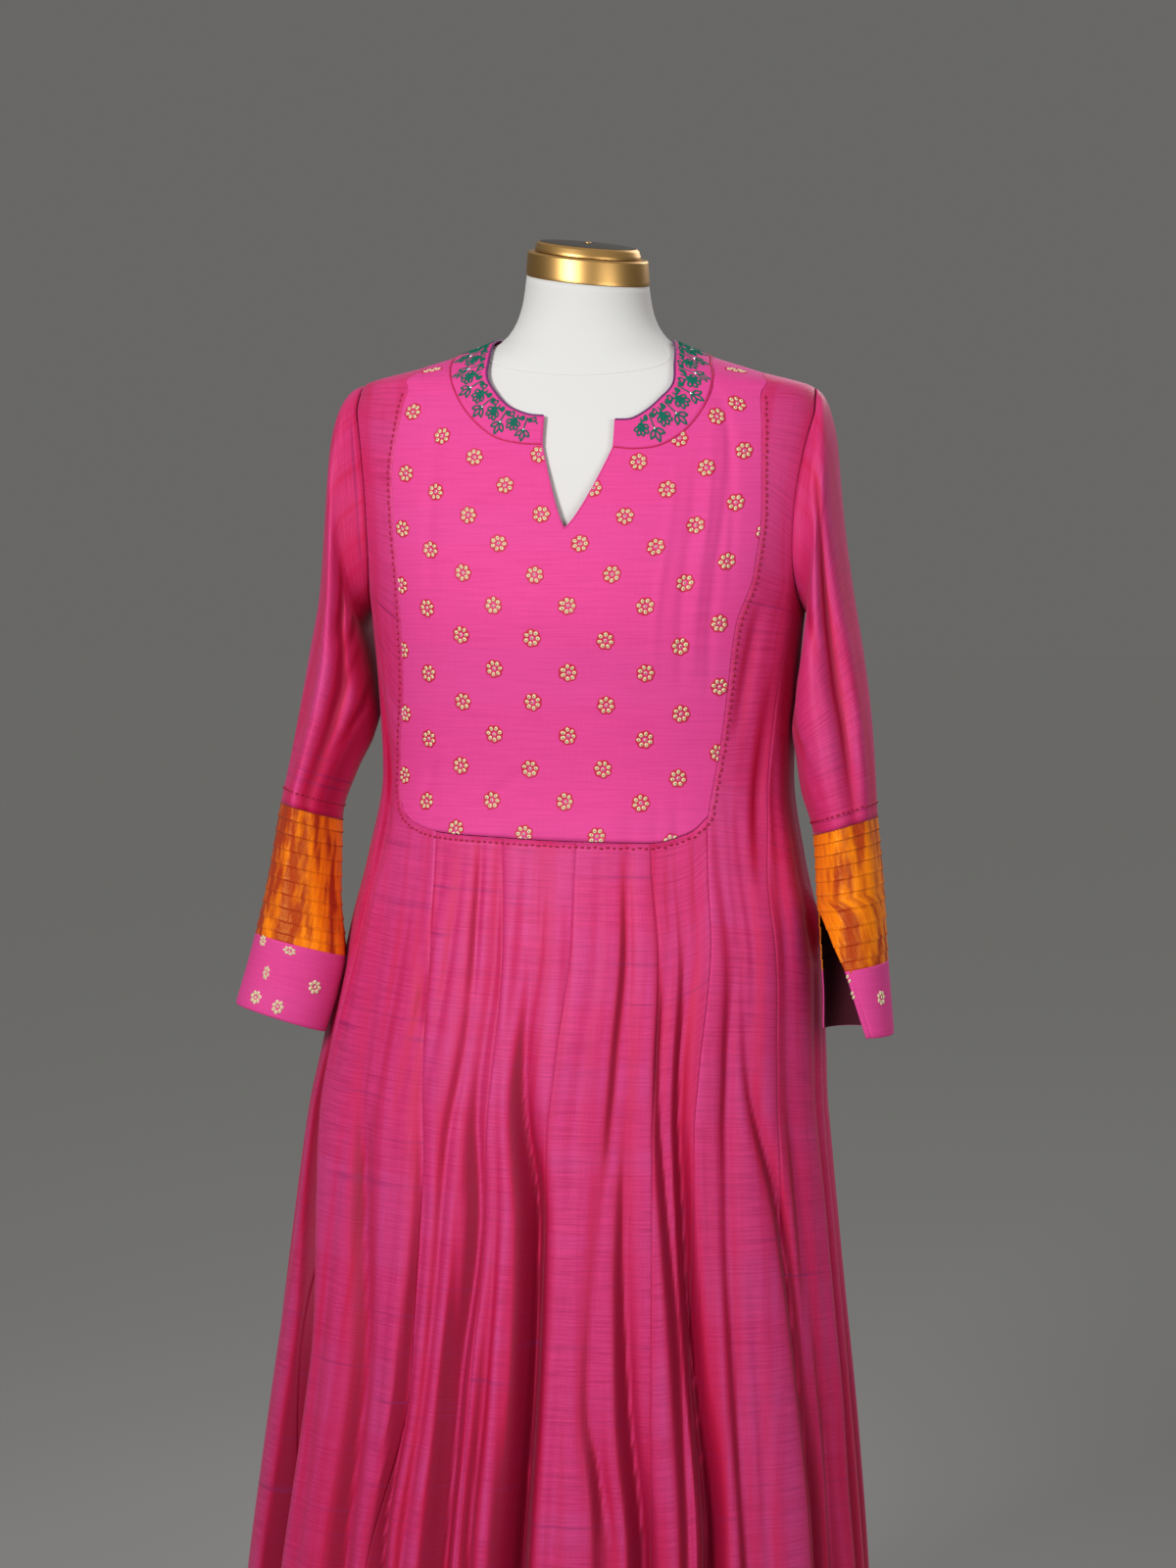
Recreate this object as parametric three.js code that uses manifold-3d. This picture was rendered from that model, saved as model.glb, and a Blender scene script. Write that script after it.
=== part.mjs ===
// A long kalidar kurti, worn by a limbless dress form on a round stand.
//
// Millimetres, +Z up. The origin is the centre of the stand's underside. The front faces -Y, and left and right are
// the wearer's: +X is the wearer's left. A place on the cloth is given by an angle and a height: 0 degrees is the
// centre front, +90 the wearer's left side and 180 the centre back.
import * as THREE from "three";
import { mergeVertices } from "three/addons/utils/BufferGeometryUtils.js";
import Module from "manifold-3d";

const wasm = await Module();
wasm.setup();

// Driving dimensions
const CLOTH = 1.5; // thickness of a cloth wall
const SEAM = 0.4; // gap between two pieces at a seam
const SHOULDER_DROP = 0.2; // the same between the side fronts' tops and the yoke, in height
const BAND_DROP = 0.12; // and between the back and the neckband
const SHOULDER_Z = 1365; // above this height the cloth turns over the shoulder, and
const SHOULDER_SEAM = 1.8; // its seams' gaps are wider by this factor
const SHOULDER_GAP = 0.25; // the same at the shoulder line, in degrees to each side of it
const HEM_Z = 150; // height of the hem above the floor
const TIP_Z = 1361; // height of the shoulder tip
const SHOULDER_TILT = 0.016; // fall of the shoulders towards the left

// Horizontal sections of the garment's outer surface, from the hem to the neck.
// Columns: height, half width, centre x, front depth, back depth, roundness (2 is an ellipse, more is squarer).
const SECTIONS = [
  [150, 300, -30, 262, 250, 2.0],
  [322, 287, -28, 240, 226, 2.0],
  [449, 272, -25, 221, 206, 2.0],
  [611, 249, -21.5, 194, 182, 2.05],
  [735, 232, -19, 172, 164, 2.1],
  [793, 223.5, -13.5, 162, 156, 2.1],
  [894, 207.5, -3.5, 142, 142, 2.15],
  [956, 192, -2, 129, 128, 2.2],
  [1031, 179, 0, 119, 114, 2.3],
  [1100, 182, 0, 124, 112, 2.3],
  [1160, 187, 0, 129, 114, 2.3],
  [1200, 192, 0, 124, 116, 2.35],
  [1250, 200, 0, 110, 116, 2.4],
  [1300, 205, 0, 94, 108, 2.4],
  [1335, 206, 0, 82, 96, 2.3],
  [1350, 202, 0, 76, 90, 2.2],
  [1361, 196, 0, 72, 86, 2.1],
  [1375, 148, 0, 66, 78, 2.1],
  [1390, 100, 0, 60, 70, 2.1],
  [1400, 76, 0, 55, 62, 2.1],
];

// The skirt's folds: soft troughs that deepen towards the hem.
// Columns: angle at the waist, at mid skirt and at the hem, half width in degrees, depth at the waist, mid skirt, hem.
const FOLDS = [
  [-74, -72, -70, 6, 2, 6, 20],
  [-64, -58, -55, 6, 4, 9, 34],
  [-52, -45, -41, 5, 2, 4, 9],
  [-33, -28, -28, 5, 3, 7, 26],
  [-18, -12, -18, 5, 4, 17, 44],
  [-4, 1, -1, 4.5, 3, 24, 50],
  [10, 11, 11, 4, 1, 4, 14],
  [19, 17, 21, 4.5, 4, 11, 32],
  [28, 30, 34, 5, 4, 16, 46],
  [41, 43, 47, 5, 3, 5, 13],
  [59, 58, 59, 5.5, 4, 8, 30],
  [74, 74, 75, 5.5, 2, 6, 24],
  [90, 89, 90, 6, 2, 7, 26],
  [106, 107, 106, 6, 3, 10, 36],
  [121, 122, 123, 6, 2, 6, 22],
  [137, 138, 139, 6, 4, 13, 42],
  [152, 153, 154, 5, 2, 6, 20],
  [168, 169, 171, 6, 4, 14, 44],
  [186, 186, 187, 5.5, 2, 7, 24],
  [202, 201, 202, 6, 4, 12, 40],
  [218, 218, 219, 5.5, 2, 6, 18],
  [234, 233, 234, 6, 4, 12, 38],
  [250, 249, 250, 6, 3, 7, 24],
  [267, 267, 268, 6, 3, 8, 30],
];
const FOLD_HEIGHTS = [HEM_Z, 665, 950, 1030]; // the hem, mid skirt, the waist, and where a fold has run out

// Seams between the panels. Columns: height, angle.
const SEAM_SIDE_RIGHT = [[150, -90], [1170, -90]];
const SEAM_SIDE_LEFT = [[150, 90], [1170, 90]];
const SEAM_L = [[150, -51], [440, -53], [640, -56], [805, -61], [890, -61], [965, -65], [1022, -69], [1100, -70], [1186, -75.6]];
const SEAM_A = [[150, -30], [390, -27], [540, -22], [700, -22], [810, -27], [900, -30.5], [984, -34]];
const SEAM_B = [[150, -11], [400, -10], [660, -8.5], [860, -10.5], [981, -13.5]];
const SEAM_C = [[150, 2.5], [700, 3], [979, 3]];
const SEAM_D = [[150, 26], [400, 24.5], [750, 24.5], [978, 21]];
const SEAM_E = [[150, 34.5], [510, 33], [730, 34], [866, 36], [999, 38]];
const SEAM_F = [[150, 58], [720, 58], [905, 57.5], [1000, 64], [1100, 69], [1186, 75.6]];
const SEAM_BACK_SIDE_LEFT = [[150, 124], [700, 121], [1000, 114], [1100, 110], [1190, 104.1]];
const SEAM_BACK_LEFT = [[150, 151], [700, 149], [1030, 146], [1200, 142], [1340, 136], [1380.4, 132]];
const SEAM_BACK = [[150, 180], [1376.5, 180]];
const SEAM_BACK_RIGHT = mirrored(SEAM_BACK_LEFT);
const SEAM_BACK_SIDE_RIGHT = mirrored(SEAM_BACK_SIDE_LEFT);

// The yoke's edges, as angle and height: its two sides from the lower corner to the shoulder, and its lower edge.
const YOKE_SIDE_RIGHT = [[-50, 998], [-54.5, 1022], [-53.5, 1056], [-49.5, 1106], [-48, 1156], [-47, 1200], [-46.5, 1240],
  [-46.5, 1280], [-45, 1310], [-44, 1335], [-45, 1352], [-52, 1366], [-62, 1374], [-76, 1377.5], [-90, 1379.5]];
const YOKE_SIDE_LEFT = [[38, 999], [40, 1024], [42.5, 1058], [44.5, 1106], [46, 1156], [50.5, 1200], [50, 1240],
  [48, 1280], [47, 1310], [47, 1335], [49, 1352], [56, 1364], [66, 1370], [78, 1372.5], [90, 1374.5]];
const YOKE_FOOT = [[-50, 998], [-34, 984], [-13.5, 981], [3, 979], [21, 978], [32, 986], [38, 999]];
const SLIT_FOOT = [0, 1238];
const YOKE_CENTRE_ROWS = 3; // rows of points between the yoke's foot and the foot of the slit

// The edge where the neckband is let into the yoke, and its free edge at the neck, from the slit to the shoulder line.
// Columns: angle and height of the joined edge, then of the free edge. The slit's own edges run down to SLIT_FOOT.
const BAND_RIGHT = [[-4.2, 1308, -4.6, 1332], [-9, 1309, -8, 1333.5], [-15, 1315, -12.5, 1340], [-21.5, 1331, -17, 1351],
  [-27.5, 1349, -22.5, 1365], [-35, 1366, -34, 1382], [-55, 1379, -58, 1394], [-73, 1385.5, -74, 1398.5], [-90, 1389, -90, 1400]];
const BAND_LEFT = [[7.5, 1306, 8, 1329], [12, 1304.5, 11.5, 1330], [18, 1308, 15, 1337], [24.5, 1322, 18.5, 1346],
  [30.5, 1344, 24, 1360], [38, 1366, 36, 1378], [55, 1379, 60, 1393], [73, 1385.5, 75, 1398.5], [90, 1389, 90, 1400]];
const BAND_BACK = [[90, 1389, 90, 1400], [103, 1386, 103, 1400], [118, 1382.6, 118, 1399.6], [132, 1380, 132, 1399.2],
  [148, 1378, 148, 1398.8], [164, 1376.8, 164, 1398.5], [180, 1376.5, 180, 1398.5]];

// The armhole is an oval on the side of the body: its middle, half height, and reach to the front and the back in degrees.
const ARMHOLE = { z: 1265.5, up: 95.5, front: 26, back: 23, inset: 0.99 };
const LOOP_POINTS = 20;

// Sections of the sleeves from the armhole to the cuff's edge. Columns: x and height of the outer side, x and height of
// the inner side, middle y, half depth from front to back, lift of the front edge for each mm of half depth.
const SLEEVE_RIGHT = [
  [-196, 1364, -187, 1170, 0, 60, 0],
  [-206, 1359, -194, 1163, 0, 62, 0],
  [-215, 1347, -198, 1156, 0, 64, 0],
  [-223, 1324, -200, 1147, -1, 66, 0],
  [-228, 1290, -200, 1137, -2, 68, 0],
  [-233, 1240, -198, 1122, -4, 69, 0],
  [-239, 1187, -193, 1103, -8, 68, 0.02],
  [-247, 1137, -187, 1084, -14, 64, 0.05],
  [-253, 1090, -190, 1062, -22, 59, 0.08],
  [-258, 1047, -203, 1029, -30, 54, 0.1],
  [-262, 1002, -214, 988, -37, 50, 0.11],
  [-272, 941, -213, 927, -46, 46, 0.12],
  [-282, 889, -206, 871, -56, 42, 0.14],
  [-289, 857, -211, 840, -61, 39, 0.15],
  [-296, 828, -221, 806, -67, 36, 0.16],
];
const SLEEVE_LEFT = [
  [196, 1358, 187, 1170, 0, 60, 0],
  [202, 1351, 193, 1163, 0, 62, 0],
  [206, 1337, 196, 1156, 0, 64, 0],
  [209, 1312, 197, 1147, -1, 66, 0],
  [212, 1282, 196, 1137, -2, 68, 0],
  [219, 1236, 193, 1122, -4, 69, 0],
  [229, 1182, 187, 1101, -8, 68, 0.01],
  [239, 1131, 183, 1075, -14, 64, 0.02],
  [246, 1082, 185, 1046, -22, 59, 0.03],
  [250, 1040, 191, 1016, -30, 54, 0.03],
  [253, 996, 202, 981, -37, 50, 0.03],
  [259, 942, 206, 932, -46, 46, 0.02],
  [264, 877, 210, 868, -56, 42, 0.01],
  [267, 847, 211, 843, -61, 39, 0],
  [270, 817, 211, 818, -67, 36, 0],
];
const BAND_ROW = 10; // the row where the tucked band starts
const CUFF_ROW = 12; // the row where the cuff starts
const END_ROW = 14; // the cuff's edge
const SLEEVE_LIFT = 0.9; // gap between the panels and the sleeve set on them
const FADE_ROWS = 3; // rows over which the armhole's own outline fades into the sections
// Long creases in the sleeves. Columns: angle round the sleeve (0 outer, 90 front, 180 inner, 270 back), half width in
// degrees, depth (a ridge is negative), the rows where it starts, is deepest and has run out.
const CREASES_RIGHT = [
  [92, 26, -7, 3, 7, 12], [128, 24, 7, 2, 4, 8], [150, 26, 5, 5, 8, 13], [52, 26, 3, 4, 8, 12],
  [262, 26, -5, 4, 8, 13], [220, 24, 5, 4, 7, 11], [310, 24, 4, 3, 7, 12], [20, 24, 2, 8, 11, 14],
];
const CREASES_LEFT = [
  [100, 22, 8, 2, 5, 12], [65, 24, -4, 3, 8, 12], [135, 22, -5, 3, 7, 12], [160, 24, 5, 2, 4, 9],
  [262, 26, -5, 4, 8, 13], [222, 24, 5, 4, 7, 11], [308, 24, 4, 3, 7, 12], [30, 24, 3, 1, 3, 8],
];
const TUCKS = 10; // pin tucks across each band
const TUCK_RISE = 1.0; // how far a tuck stands out
const TUCK_EDGE = 0.16; // the share of a tuck's height that its edge takes
// The open slit in the left cuff: height of its top, x there, height of the cuff's edge, the slit's two x there, and
// the y where it stops towards the back.
const CUFF_SLIT = { top: 922, x: 217, edge: 812, lowX: [194, 253], backY: -62 };

// The dress form. Columns: height, half width, front depth, back depth, roundness.
const FORM_SECTIONS = [
  [782, 158, 112, 108, 2.2],
  [800, 168, 117, 114, 2.2],
  [860, 172, 119, 119, 2.2],
  [950, 150, 104, 102, 2.2],
  [1030, 127, 92, 86, 2.2],
  [1100, 145, 108, 94, 2.25],
  [1150, 165, 119, 107, 2.3],
  [1200, 172, 113, 111.5, 2.35],
  [1250, 177, 102, 111.5, 2.4],
  [1300, 180, 89.5, 103.5, 2.4],
  [1335, 182, 77, 91, 2.3],
  [1350.2, 180, 71, 85.5, 2.2],
  [1358.2, 177, 67.5, 82, 2.1],
  [1372, 147, 62.5, 75.5, 2.1],
  [1386.8, 100, 57.5, 68.5, 2.1],
  [1397.6, 75, 52.5, 60.5, 2.1],
  [1405.5, 67, 50.5, 56, 2.05],
  [1415, 61, 50, 53.5, 2],
  [1430, 56, 49, 50, 2],
  [1452, 52.6, 49, 49, 2],
];
// The neck's top and its cap lean: the front and the wearer's left side are lower. Slopes are tangents.
const NECK_LEAN = { from: 1400, to: 1452, front: 0.16, side: 0.115 };
// Outline of the cap: a band and a smaller stepped disc. Columns: distance from the axis, height above the neck's top.
const CAP_BAND = [[0, 0.4], [53.2, 0.4], [53.2, 3], [52, 20], [50.5, 21.2], [0, 21.2]];
const CAP_DISC = [[0, 21.6], [45.8, 21.6], [45.6, 24], [44, 28.6], [42, 30.2], [20, 31.4], [0, 31.6]];
const CAP_DEPTH = 0.925; // depth of the cap as a share of its width
const CAP_SIDES = 28;
const FORM_COLUMNS = 24;

// The stand: a round plate, a tube and a flange under the form. Radii and heights.
const PLATE = [[0, 0], [198, 0], [200, 2], [200, 7], [196, 11], [70, 14], [0, 14]];
const SOCKET = [[0, 14.4], [30, 14.4], [28, 20], [20, 40], [18, 44], [0, 44]];
const TUBE_RADIUS = 14;
const TUBE_ENDS = [44.4, 768];
const FLANGE = [[0, 768.4], [24, 768.4], [48, 776], [48, 781.5], [0, 781.5]];
const STAND_SIDES = 24;

const CLOTH_PINK = new THREE.MeshStandardMaterial({ color: 0xe23e93, roughness: 0.7, metalness: 0 });
const CLOTH_SILK = new THREE.MeshStandardMaterial({ color: 0xd22a68, roughness: 0.5, metalness: 0 });
const CLOTH_ORANGE = new THREE.MeshStandardMaterial({ color: 0xe06a12, roughness: 0.4, metalness: 0.1 });
const FORM_WHITE = new THREE.MeshStandardMaterial({ color: 0xe6e6e2, roughness: 0.8, metalness: 0 });
const CAP_GOLD = new THREE.MeshStandardMaterial({ color: 0xa9772f, roughness: 0.35, metalness: 0.8 });
const STAND_STEEL = new THREE.MeshStandardMaterial({ color: 0x33343a, roughness: 0.45, metalness: 0.6 });

// Curves through tables

// The same seam on the other side of the body.
function mirrored(seam) {
  return seam.map(([z, angle]) => [z, 360 - angle]);
}

// A monotone cubic through the points (xs, ys), held at its end values outside them.
function smoothCurve(xs, ys) {
  const steps = xs.slice(1).map((x, i) => x - xs[i]);
  const slopes = steps.map((h, i) => (ys[i + 1] - ys[i]) / h);
  const tangents = ys.map((_, i) => {
    if (i === 0) return slopes[0];
    if (i === ys.length - 1) return slopes[i - 1];
    if (slopes[i - 1] * slopes[i] <= 0) return 0;
    return (2 * slopes[i - 1] * slopes[i]) / (slopes[i - 1] + slopes[i]);
  });
  return (x) => {
    if (x <= xs[0]) return ys[0];
    if (x >= xs[xs.length - 1]) return ys[ys.length - 1];
    let i = 0;
    while (x > xs[i + 1]) i++;
    const h = steps[i];
    const t = (x - xs[i]) / h;
    const keep = 2 * t ** 3 - 3 * t ** 2 + 1;
    return keep * ys[i] + (t ** 3 - 2 * t ** 2 + t) * h * tangents[i]
      + (1 - keep) * ys[i + 1] + (t ** 3 - t ** 2) * h * tangents[i + 1];
  };
}

function columnCurves(table) {
  const first = table.map((row) => row[0]);
  return table[0].slice(1).map((_, k) => smoothCurve(first, table.map((row) => row[k + 1])));
}

function rowCurves(table) {
  const index = table.map((_, i) => i);
  return table[0].map((_, k) => smoothCurve(index, table.map((row) => row[k])));
}

const radians = (degrees) => (degrees * Math.PI) / 180;
const mix = (a, b, t) => a + (b - a) * t;

// The garment's surface

// The left shoulder hangs a little lower than the right one.
const shoulderTilt = (x, z) => -SHOULDER_TILT * x * Math.min(1, Math.max(0, (z - 1250) / 110));

const [halfWidth, centreX, frontDepth, backDepth, roundness] = columnCurves(SECTIONS);
const foldCurves = FOLDS.map(([waist, mid, hem, width, atWaist, atMid, atHem]) => ({
  angle: smoothCurve(FOLD_HEIGHTS, [hem, mid, waist, waist]),
  depth: smoothCurve(FOLD_HEIGHTS, [atHem, atMid, atWaist, 0]),
  width,
}));

// Depth of the skirt's folds, as a sum of bells round the body.
function foldDepth(angle, z) {
  return foldCurves.reduce((sum, fold) => {
    let off = (angle - fold.angle(z)) % 360;
    if (off > 180) off -= 360;
    if (off < -180) off += 360;
    return sum + fold.depth(z) * Math.exp(-((off / fold.width) ** 2));
  }, 0);
}

// A point on a superellipse: half width a along x, depth b along y, with the angle counted from the front.
function superellipse(angle, a, b, power) {
  const s = Math.sin(radians(angle));
  const c = Math.cos(radians(angle));
  return [a * Math.sign(s) * Math.abs(s) ** (2 / power), -b * Math.sign(c) * Math.abs(c) ** (2 / power)];
}

function bodyPoint(angle, z) {
  const a = halfWidth(z);
  const b = Math.cos(radians(angle)) >= 0 ? frontDepth(z) : backDepth(z);
  const [x, y] = superellipse(angle, a, b, roundness(z));
  const depth = foldDepth(angle, z);
  const out = new THREE.Vector2(x / (a * a), y / (b * b)).normalize();
  return new THREE.Vector3(centreX(z) + x - out.x * depth, y - out.y * depth, z + shoulderTilt(x, z));
}

// Unit normal of a surface of two parameters, from points a little to each side.
function normalOf(surface, u, v, du, dv) {
  const alongU = surface(u + du, v).sub(surface(u - du, v));
  const alongV = surface(u, v + dv).sub(surface(u, v - dv));
  return alongU.cross(alongV).normalize();
}

// Shifts the points of a curve on the body sideways along the cloth by a distance: to the left of its course if plus.
function shifted(curve, distance) {
  return curve.map(([angle, z], i) => {
    const before = curve[Math.max(i - 1, 0)];
    const after = curve[Math.min(i + 1, curve.length - 1)];
    const perDegree = bodyPoint(angle + 0.1, z).sub(bodyPoint(angle - 0.1, z)).divideScalar(0.2);
    const perHeight = bodyPoint(angle, z + 0.1).sub(bodyPoint(angle, z - 0.1)).divideScalar(0.2);
    const course = perDegree.clone().multiplyScalar(after[0] - before[0]).addScaledVector(perHeight, after[1] - before[1]);
    const normal = perDegree.clone().cross(perHeight);
    const move = normal.cross(course).setLength(Math.abs(distance) * (z > SHOULDER_Z ? SHOULDER_SEAM : 1));
    if (distance < 0) move.negate();
    // Solves move = a perDegree + b perHeight in the tangent plane.
    const [uu, uv, vv] = [perDegree.dot(perDegree), perDegree.dot(perHeight), perHeight.dot(perHeight)];
    const [mu, mv] = [move.dot(perDegree), move.dot(perHeight)];
    const area = uu * vv - uv * uv;
    return [angle + (mu * vv - mv * uv) / area, z + (mv * uu - mu * uv) / area];
  });
}

// Walls

// A flat patch is { places: [[u, v]], faces: [[i, j, k]] }, counter-clockwise with u to the right and v up.
function gridPatch(rows) {
  const width = rows[0].length;
  const faces = [];
  for (let i = 0; i + 1 < rows.length; i++) {
    for (let j = 0; j + 1 < width; j++) {
      const a = i * width + j;
      faces.push([a, a + 1, a + width + 1], [a, a + width + 1, a + width]);
    }
  }
  return { places: rows.flat(), faces };
}

// Joins patches that share places, such as the two halves of the yoke along the centre front, and drops faces that
// have shrunk to nothing.
function joinedPatch(...patches) {
  const places = [];
  const index = new Map();
  const faces = [];
  for (const patch of patches) {
    const at = patch.places.map(([u, v]) => {
      const key = `${u.toFixed(4)} ${v.toFixed(4)}`;
      if (!index.has(key)) {
        index.set(key, places.length);
        places.push([u, v]);
      }
      return index.get(key);
    });
    for (const face of patch.faces) {
      const [a, b, c] = face.map((k) => at[k]);
      if (a !== b && b !== c && c !== a) faces.push([a, b, c]);
    }
  }
  return { places, faces };
}

function closedGeometry(points, faces) {
  const geometry = new THREE.BufferGeometry().setFromPoints(points);
  geometry.setIndex(faces.flat());
  geometry.computeVertexNormals();
  return geometry;
}

// The wall of cloth on a patch: the outer points, the inner ones a thickness below them, and an edge all round.
function wallOf(patch, surface, du, dv) {
  const outer = patch.places.map(([u, v]) => surface(u, v));
  const inner = patch.places.map(([u, v], i) => outer[i].clone().addScaledVector(normalOf(surface, u, v, du, dv), -CLOTH));
  const count = outer.length;
  const faces = [];
  const edges = new Map();
  for (const [a, b, c] of patch.faces) {
    faces.push([a, b, c], [a + count, c + count, b + count]);
    for (const [p, q] of [[a, b], [b, c], [c, a]]) {
      if (edges.has(`${q} ${p}`)) edges.delete(`${q} ${p}`);
      else edges.set(`${p} ${q}`, [p, q]);
    }
  }
  // The edge's faces are split from the lower outer point to the upper inner one, on both sides of a seam alike.
  for (const [p, q] of edges.values()) {
    if (outer[p].z < outer[q].z) faces.push([p, p + count, q + count], [p, q + count, q]);
    else faces.push([p, p + count, q], [p + count, q + count, q]);
  }
  return closedGeometry([...outer, ...inner], faces);
}

const bodyWall = (patch) => wallOf(patch, bodyPoint, 0.15, 0.15);

// A closed tube from rings of outer points and rings of inner points, all with the same number of points.
function tubeWall(outerRings, innerRings) {
  const sides = outerRings[0].length;
  const points = [...outerRings.flat(), ...innerRings.flat()];
  const faces = [];
  const strip = (low, high) => {
    for (let j = 0; j < sides; j++) {
      const k = (j + 1) % sides;
      faces.push([low + j, low + k, high + k], [low + j, high + k, high + j]);
    }
  };
  const innerStart = outerRings.length * sides;
  for (let i = 0; i + 1 < outerRings.length; i++) strip((i + 1) * sides, i * sides);
  for (let i = 0; i + 1 < innerRings.length; i++) strip(innerStart + i * sides, innerStart + (i + 1) * sides);
  strip(0, innerStart);
  strip(innerStart + (innerRings.length - 1) * sides, (outerRings.length - 1) * sides);
  return closedGeometry(points, faces);
}

// The skirt's and bodice's panels

const heightsBetween = (low, high, count) => Array.from({ length: count + 1 }, (_, i) => mix(low, high, i / count));
const SKIRT_ROWS = [150, 270, 400, 530, 650, 760, 860, 930];
const WAIST_ROWS = [990, 1020, 1060, 1105, 1150]; // heights above them on the side seams and the seams next to those
const ARMHOLE_ROWS = {
  right: [1186, 1215, 1250, 1285, 1315, 1340, 1354, 1361, 1367, 1373, 1379.4],
  left: [1186, 1220, 1260, 1300, 1330, 1350, 1361, 1366, 1370, 1374.4],
  back: [1190, 1230, 1270, 1305, 1335, 1352, 1361, 1375],
};

const angleAt = (seam) => smoothCurve(seam.map(([z]) => z), seam.map(([, angle]) => angle));

// A panel between two edges, given as lists of [angle, height] from the hem up, with the same number of points.
function panelBetween(leftEdge, rightEdge, columns) {
  const left = shifted(leftEdge, -SEAM / 2);
  const right = shifted(rightEdge, SEAM / 2);
  return gridPatch(left.map((from, i) =>
    Array.from({ length: columns + 1 }, (_, j) => [mix(from[0], right[i][0], j / columns), mix(from[1], right[i][1], j / columns)])));
}

// Height of the yoke's foot at an angle, along straight lines between the table's points.
function footHeight(angle) {
  const k = Math.min(Math.max(YOKE_FOOT.findIndex(([at]) => at >= angle), 1), YOKE_FOOT.length - 1);
  const [[a0, z0], [a1, z1]] = [YOKE_FOOT[k - 1], YOKE_FOOT[k]];
  return mix(z0, z1, (angle - a0) / (a1 - a0));
}


// A kali under the yoke, between two seams. Its top follows the yoke's foot, a seam's gap below it.
function frontKali(leftSeam, rightSeam, columns) {
  const ends = [leftSeam, rightSeam].map((seam) => seam[seam.length - 1][1]);
  const edge = (seam, k) => {
    const angle = angleAt(seam);
    return [...SKIRT_ROWS.map((z) => [angle(z), z]), [ends[k], footHeight(ends[k])]];
  };
  const patch = panelBetween(edge(leftSeam, 0), edge(rightSeam, 1), columns);
  for (const place of patch.places.slice(-columns - 1)) place[1] = footHeight(place[0]) - SEAM / 2;
  return patch;
}

// The front's armhole edge at a height, as degrees from the side seam, and the back's.
const armholeReach = (z, reach) => reach * Math.sqrt(Math.max(0, 1 - ((z - ARMHOLE.z) / ARMHOLE.up) ** 2));

// The outer edge of a panel that ends on the shoulder: its seam, then the armhole, then the shoulder line.
function armholeEdge(seam, sideAngle, reach) {
  const onSeam = angleAt(seam);
  const meets = seam[seam.length - 1][0];
  return (z) => {
    if (z <= meets) return onSeam(z);
    if (z >= TIP_Z) return sideAngle;
    return sideAngle + armholeReach(z, reach);
  };
}

// The panel beside the yoke, from the hem to the shoulder. Its inner edge is a kali's seam, then the yoke's side, and
// it ends in a point on the shoulder line.
function sideFront(kaliSeam, foot, yokeSide, armholeRows, outerEdge, side, columns) {
  const kaliAngle = angleAt(kaliSeam);
  const innerEdge = [...SKIRT_ROWS.map((z) => [kaliAngle(z), z]), ...foot, ...yokeSide];
  const outer = [...SKIRT_ROWS, ...WAIST_ROWS, ...armholeRows].map((z) => [outerEdge(z), z]);
  const patch = side < 0 ? panelBetween(outer, innerEdge, columns) : panelBetween(innerEdge, outer, columns);
  const tip = [side * (90 - SHOULDER_GAP), yokeSide[yokeSide.length - 1][1] - SHOULDER_DROP];
  for (let k = patch.places.length - columns - 1; k < patch.places.length; k++) patch.places[k] = tip;
  return joinedPatch(patch);
}

// The parts of the back. Both are filled between the hem, the neckband's joined edge and two long edges.
const BACK_ROWS = [...SKIRT_ROWS, ...WAIST_ROWS, 1190, 1230, 1270, 1305, 1335, 1355, 1366, 1374];
const backHead = angleAt(BAND_BACK.map(([angle, z]) => [angle, z]));

function backPanel(leftEdge, rightEdge, columns) {
  const left = shifted(leftEdge, -SEAM / 2);
  const right = shifted(rightEdge, SEAM / 2);
  const last = left.length - 1;
  const foot = heightsBetween(left[0][0], right[0][0], columns).map((angle) => [angle, HEM_Z]);
  const head = heightsBetween(left[last][0], right[last][0], columns).map((angle) => [angle, backHead(angle) - BAND_DROP]);
  left[last] = head[0];
  right[last] = head[columns];
  return filledPatch(foot, head, left, right);
}

function backSide(columns) {
  const inner = angleAt(SEAM_BACK_LEFT);
  const outer = armholeEdge(SEAM_BACK_SIDE_LEFT, 90, ARMHOLE.back);
  const outerEdge = [...SKIRT_ROWS, ...WAIST_ROWS, ...ARMHOLE_ROWS.back].map((z) => [outer(z), z]);
  const head = SEAM_BACK_LEFT[SEAM_BACK_LEFT.length - 1];
  return backPanel([...outerEdge, [90, BAND_BACK[0][1]]],
    [...BACK_ROWS.map((z) => [inner(z), z]), [head[1], head[0]]], columns);
}

function backCentre(columns) {
  const edge = (seam) => {
    const angle = angleAt(seam);
    const [z, end] = seam[seam.length - 1];
    return [...BACK_ROWS.map((row) => [angle(row), row]), [end, z]];
  };
  return backPanel(edge(SEAM_BACK_LEFT), edge(SEAM_BACK), columns);
}

// The same patch on the other side of the body.
function mirroredPatch(patch) {
  return { places: patch.places.map(([angle, z]) => [360 - angle, z]), faces: patch.faces.map(([i, j, k]) => [i, k, j]) };
}

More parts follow.
